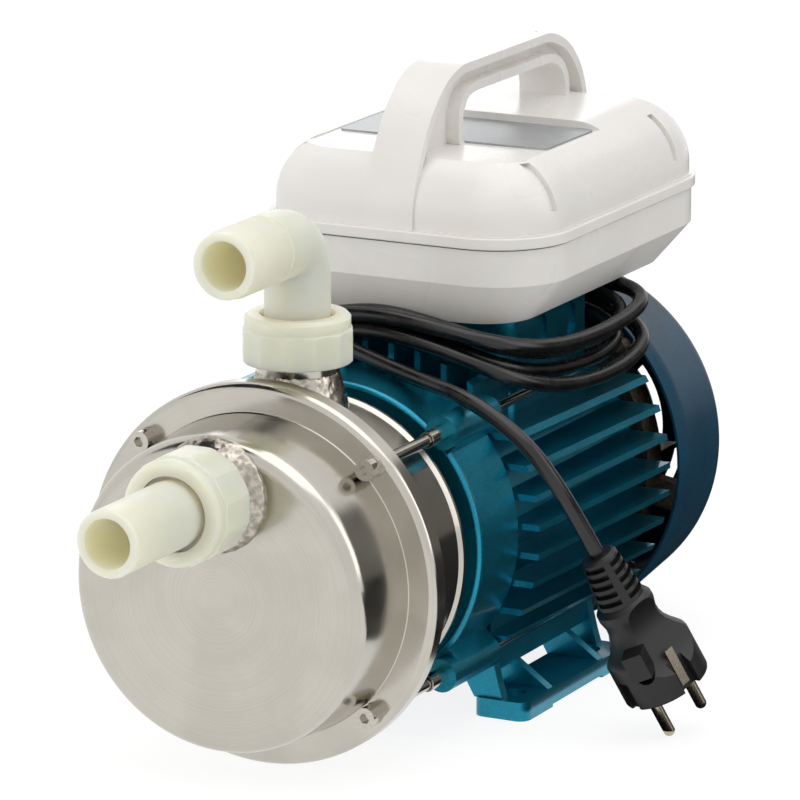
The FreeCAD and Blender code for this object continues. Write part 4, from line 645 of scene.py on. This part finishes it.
def moulded_white(choice):
    # ABS, injection moulded in a polished tool: glossy warm white, with faint waves where it shrank.
    material, tree, shader, place = start_finish("moulded_white", ior=1.54, subsurface_weight=0.08,
                                                 subsurface_scale=0.002)
    cloud = noise(tree, place, 60.0, 2.0)
    tree.links.new(two_tone(tree, between(tree, cloud, 0.0, 1.0), list(choice.white), linear("ebe8e4")),
                   shader.inputs["Base Color"])
    tree.links.new(between(tree, cloud, 0.24, 0.34), shader.inputs["Roughness"])
    bumped(tree, shader, noise(tree, place, 25.0, 2.0), 0.06)
    return material


def brushed_plate(choice):
    # Anodised aluminium foil plate, brushed along its length: light grey with fine drawn lines.
    material, tree, shader, place = start_finish("brushed_plate", metallic=0.85)
    lines = noise(tree, place, 0.4, 2.0, (0.03, 1, 1))
    tree.links.new(two_tone(tree, between(tree, lines, 0.0, 1.0), linear("9a9da0"), linear("b7babc")),
                   shader.inputs["Base Color"])
    tree.links.new(between(tree, lines, 0.35, 0.5), shader.inputs["Roughness"])
    bumped(tree, shader, lines, 0.01)
    return material


def lead_pvc(choice):
    # Soft black PVC, extruded: glossy, with slight cross wrinkles where it bends.
    material, tree, shader, place = start_finish("lead_pvc", ior=1.52)
    wear = noise(tree, place, 9.0)
    tree.links.new(two_tone(tree, between(tree, wear, 0.0, 1.0), linear("0d0c0c"), linear("141313")),
                   shader.inputs["Base Color"])
    tree.links.new(between(tree, wear, 0.2, 0.32), shader.inputs["Roughness"])
    bumped(tree, shader, noise(tree, place, 1.6, 2.0), 0.03)
    return material


def fired_ceramic(choice):
    # Carbon and ceramic seal faces, lapped: matt grey black with fine grain.
    material, tree, shader, place = start_finish("fired_ceramic", ior=1.7)
    grain = noise(tree, place, 0.7)
    tree.links.new(two_tone(tree, grain, linear("3a3a3c"), linear("565557")), shader.inputs["Base Color"])
    tree.links.new(between(tree, grain, 0.3, 0.5), shader.inputs["Roughness"])
    return material


def studio_board(name, dark, light):
    """Studio board: matt, with the faint tooth of paper."""
    material, tree, shader, place = start_finish(name, roughness=0.9, specular_ior_level=0.1)
    tree.links.new(two_tone(tree, noise(tree, place, 2.0), linear(dark), linear(light)), shader.inputs["Base Color"])
    return material


def black_card(choice):
    # Black paper board, 2 mm tooth.
    return studio_board("black_card", "1c1c1c", "262626")


def grey_card(choice):
    # Middle grey paper board, 2 mm tooth.
    return studio_board("grey_card", "7c7a77", "868481")


def matt_black(choice):
    # Black polypropylene, moulded in a spark eroded tool: even fine grain that takes the gloss off.
    material, tree, shader, place = start_finish("matt_black", ior=1.49)
    grain = noise(tree, place, 0.6, 2.0)
    tree.links.new(two_tone(tree, between(tree, grain, 0.0, 1.0), linear("09090a"), linear("0e0e0f")),
                   shader.inputs["Base Color"])
    tree.links.new(between(tree, grain, 0.38, 0.5), shader.inputs["Roughness"])
    bumped(tree, shader, grain, 0.012)
    return material


def spun_aluminium(choice):
    # Drawn aluminium can: soft grey metal with drawing lines along it.
    material, tree, shader, place = start_finish("spun_aluminium", metallic=1.0)
    lines = noise(tree, place, 0.5, 2.0, (1, 0.1, 1))
    tree.links.new(two_tone(tree, lines, linear("a3a4a5"), linear("bcbdbe")), shader.inputs["Base Color"])
    tree.links.new(between(tree, lines, 0.3, 0.42), shader.inputs["Roughness"])
    return material


def nickelled_brass(choice):
    # Brass, nickel plated and tumbled: warm grey, bright, with tiny rub marks.
    material, tree, shader, place = start_finish("nickelled_brass", metallic=1.0)
    grain = noise(tree, place, 0.7)
    tree.links.new(two_tone(tree, between(tree, grain, 0.0, 1.0), linear("b3a995"), linear("bab09d")),
                   shader.inputs["Base Color"])
    tree.links.new(between(tree, grain, 0.17, 0.21), shader.inputs["Roughness"])
    bumped(tree, shader, grain, 0.001)
    return material


MAKERS = {
    "spun_stainless": spun_stainless, "weld_metal": weld_metal, "grey_card": grey_card, "bright_zinc": bright_zinc, "ground_steel": ground_steel,
    "stacked_laminations": stacked_laminations, "enamelled_copper": enamelled_copper,
    "cast_enamel": cast_enamel, "pressed_enamel_painted_shade": pressed_enamel_painted_shade, "casting_with_painted_reflection": casting_with_painted_reflection, "turned_bronze": turned_bronze,
    "natural_nylon": natural_nylon, "black_card": black_card, "moulded_white": moulded_white, "brushed_plate": brushed_plate,
    "lead_pvc": lead_pvc, "fired_ceramic": fired_ceramic, "matt_black": matt_black,
    "spun_aluminium": spun_aluminium, "nickelled_brass": nickelled_brass,
}

FINISH_OF_SLOT = {
    "polished_stainless": "spun_stainless", "zinc_steel": "bright_zinc", "bearing_steel": "ground_steel",
    "lamination_steel": "stacked_laminations", "winding_copper": "enamelled_copper",
    "blue_enamel": "cast_enamel", "raw_casting": "casting_with_painted_reflection", "fan_cover_enamel": "pressed_enamel_painted_shade", "bronze": "turned_bronze",
    "ivory_plastic": "natural_nylon", "white_plastic": "moulded_white", "grey_plate": "brushed_plate",
    "black_rubber": "lead_pvc", "seal_ceramic": "fired_ceramic", "black_plastic": "matt_black",
    "capacitor_shell": "spun_aluminium", "nickel": "nickelled_brass",
}


# Nodes whose finish differs from that of the rest of their slot.
FINISH_OF_NODE = {"rear_shield": "casting_with_painted_reflection"}


def finish(name):
    """The finish of that name, made the first time it is asked for."""
    return bpy.data.materials.get(name) or MAKERS[name](bpy.context.scene.pump_finish)


class PUMP_OT_finishes(bpy.types.Operator):
    """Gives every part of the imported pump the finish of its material"""
    bl_idname = "pump.finishes"
    bl_label = "Finishes"

    def execute(self, context):
        for name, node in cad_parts.items():
            for place in node.material_slots:
                slot = place.material.name.split(".")[0]
                place.material = finish(FINISH_OF_NODE.get(name, FINISH_OF_SLOT[slot]))
        return {"FINISHED"}


# ---- studio ----

def soft_box(name, place, aim, width, height, power, mirrored=True):
    """A rectangular lamp that faces a point, and that bright metal mirrors or not."""
    data = bpy.data.lights.new(name, "AREA")
    data.shape = "RECTANGLE"
    data.size, data.size_y, data.energy = width, height, power
    lamp = bpy.data.objects.new(name, data)
    lamp.location = place
    lamp.rotation_euler = (Vector(aim) - Vector(place)).to_track_quat("-Z", "Y").to_euler()
    lamp.visible_glossy = mirrored
    bpy.context.scene.collection.objects.link(lamp)
    return lamp


def studio_floor():
    """A wide pale floor, white to the camera and to reflections, which keeps the pump's shadow."""
    bpy.ops.object.select_all(action="DESELECT")
    bpy.ops.mesh.primitive_grid_add(x_subdivisions=4, y_subdivisions=4, size=16.0, location=(0, 0, 0))
    floor = bpy.context.object
    floor.name = "floor"
    material, tree, shader, place = start_finish("studio_floor", base_color=linear("f4f4f3"), roughness=0.8,
                                                 specular_ior_level=0.2)
    path = add_node(tree, "ShaderNodeLightPath")
    seen = add_node(tree, "ShaderNodeMath", {0: path.outputs["Is Camera Ray"], 1: path.outputs["Is Glossy Ray"]},
                    operation="ADD", use_clamp=True)
    seen = add_node(tree, "ShaderNodeMath", {0: seen.outputs[0], 1: path.outputs["Is Transmission Ray"]},
                    operation="ADD", use_clamp=True)
    share = add_node(tree, "ShaderNodeMath", {0: seen.outputs[0], 1: 0.75}, operation="MULTIPLY")
    glow = add_node(tree, "ShaderNodeEmission", {"Color": (1, 1, 1, 1), "Strength": 1.15})
    both = add_node(tree, "ShaderNodeMixShader", {0: share.outputs[0], 1: shader.outputs[0], 2: glow.outputs[0]})
    out = next(n for n in tree.nodes if n.type == "OUTPUT_MATERIAL")
    tree.links.new(both.outputs[0], out.inputs["Surface"])
    floor.data.materials.append(material)


def studio_world():
    """Even pale surroundings, white to the camera and to reflections, and plain light for the rest."""
    world = bpy.data.worlds.new("studio")
    world.use_nodes = True
    bpy.context.scene.world = world
    tree = world.node_tree
    tree.nodes.clear()
    path = add_node(tree, "ShaderNodeLightPath")
    seen = add_node(tree, "ShaderNodeMath", {0: path.outputs["Is Camera Ray"], 1: path.outputs["Is Glossy Ray"]},
                    operation="ADD", use_clamp=True)
    seen = add_node(tree, "ShaderNodeMath", {0: seen.outputs[0], 1: path.outputs["Is Transmission Ray"]},
                    operation="ADD", use_clamp=True)
    level = add_node(tree, "ShaderNodeMapRange", {"Value": seen.outputs[0], "To Min": 0.5, "To Max": 1.0})
    back = add_node(tree, "ShaderNodeBackground", {"Color": (1, 1, 1, 1), "Strength": level.outputs[0]})
    add_node(tree, "ShaderNodeOutputWorld", {"Surface": back.outputs[0]})


def card(name, board, place, aim, width, height):
    """A sheet that only reflections see, so that bright metal gets its darker edges."""
    bpy.ops.object.select_all(action="DESELECT")
    bpy.ops.mesh.primitive_grid_add(x_subdivisions=2, y_subdivisions=2, size=1.0)
    sheet = bpy.context.object
    sheet.name = name
    turn = (Vector(aim) - Vector(place)).to_track_quat("Z", "Y").to_matrix().to_4x4()
    settle(sheet, Matrix.Translation(place) @ turn @ Matrix.Diagonal((width, height, 1, 1)))
    sheet.data.materials.append(finish(board))
    sheet.visible_camera = sheet.visible_diffuse = sheet.visible_shadow = sheet.visible_transmission = False


class PUMP_OT_studio(bpy.types.Operator):
    """Sets the floor, the soft lamps and the camera"""
    bl_idname = "pump.studio"
    bl_label = "Studio"

    def execute(self, context):
        choice = context.scene.pump_studio
        studio_floor()
        studio_world()
        soft_box("overhead_box", (0.2, -0.1, 1.5), (0, 0, 0.1), 1.6, 1.6, choice.key)
        soft_box("right_box", (1.5, 0.3, 0.8), (0, 0, 0.1), 1.0, 1.2, choice.fill)
        soft_box("left_box", (-1.0, -1.6, 1.0), (0, 0, 0.1), 1.2, 1.2, 2.6 * choice.fill, False)
        soft_box("rear_box", (-0.9, 1.7, 0.65), (0, 0, 0.1), 0.5, 0.5, 0.3 * choice.fill)
        card("card_right", "grey_card", (1.1, 1.25, 0.5), (0, 0, 0.5), 1.5, 1.0)
        card("card_low", "black_card", (0.67, 0.75, 0.003), (0.67, 0.75, 1.0), 1.2, 1.62)
        card("card_behind", "black_card", (-0.15, 0.78, 0.003), (-0.15, 0.78, 1.0), 0.44, 1.44)
        card("card_above", "black_card", (-0.6, -0.5, 1.0), (0, 0, 0.1), 0.9, 0.8)
        card("card_front", "black_card", (-0.62, -1.2, 0.95), (0, -0.2, 0.15), 0.5, 0.4)
        data = bpy.data.cameras.new("camera")
        data.lens = choice.lens
        data.sensor_width = 36.0
        data.clip_end = 50.0
        camera = bpy.data.objects.new("camera", data)
        camera.location = (1.09661, -2.17723, 0.71715)
        look = Vector((0.03461, -0.099, 0.1437)) - camera.location
        camera.rotation_euler = look.to_track_quat("-Z", "Y").to_euler()
        context.scene.collection.objects.link(camera)
        context.scene.camera = camera
        context.scene.view_settings.view_transform = "Standard"
        return {"FINISHED"}


# ---- panel and running ----

OPERATORS = (PUMP_OT_studio, PUMP_OT_finishes, PUMP_OT_trims, PUMP_OT_mains_plug, PUMP_OT_mains_lead)


class PUMP_PT_panel(bpy.types.Panel):
    """Lists the steps that dress the pump"""
    bl_idname = "PUMP_PT_panel"
    bl_label = "Transfer Pump"
    bl_space_type = "VIEW_3D"
    bl_region_type = "UI"
    bl_category = "Transfer Pump"

    def draw(self, context):
        layout = self.layout
        scene = context.scene
        for group in (scene.pump_lead, scene.pump_plug, scene.pump_finish, scene.pump_studio):
            for name in group.bl_rna.properties.keys():
                if name not in ("rna_type", "name"):
                    layout.prop(group, name)
        for step in OPERATORS:
            layout.operator(step.bl_idname)


SETTINGS = {"pump_lead": LeadSettings, "pump_plug": PlugSettings, "pump_finish": FinishSettings, "pump_studio": StudioSettings}


def register():
    for group in SETTINGS.values():
        bpy.utils.register_class(group)
    for kind in (*OPERATORS, PUMP_PT_panel):
        bpy.utils.register_class(kind)
    for name, group in SETTINGS.items():
        setattr(bpy.types.Scene, name, PointerProperty(type=group))


def unregister():
    for name in SETTINGS:
        delattr(bpy.types.Scene, name)
    for kind in (PUMP_PT_panel, *reversed(OPERATORS)):
        bpy.utils.unregister_class(kind)
    for group in SETTINGS.values():
        bpy.utils.unregister_class(group)


def main():
    register()
    for step in OPERATORS:
        family, name = step.bl_idname.split(".")
        getattr(getattr(bpy.ops, family), name)()


if __name__ == "__main__":
    main()
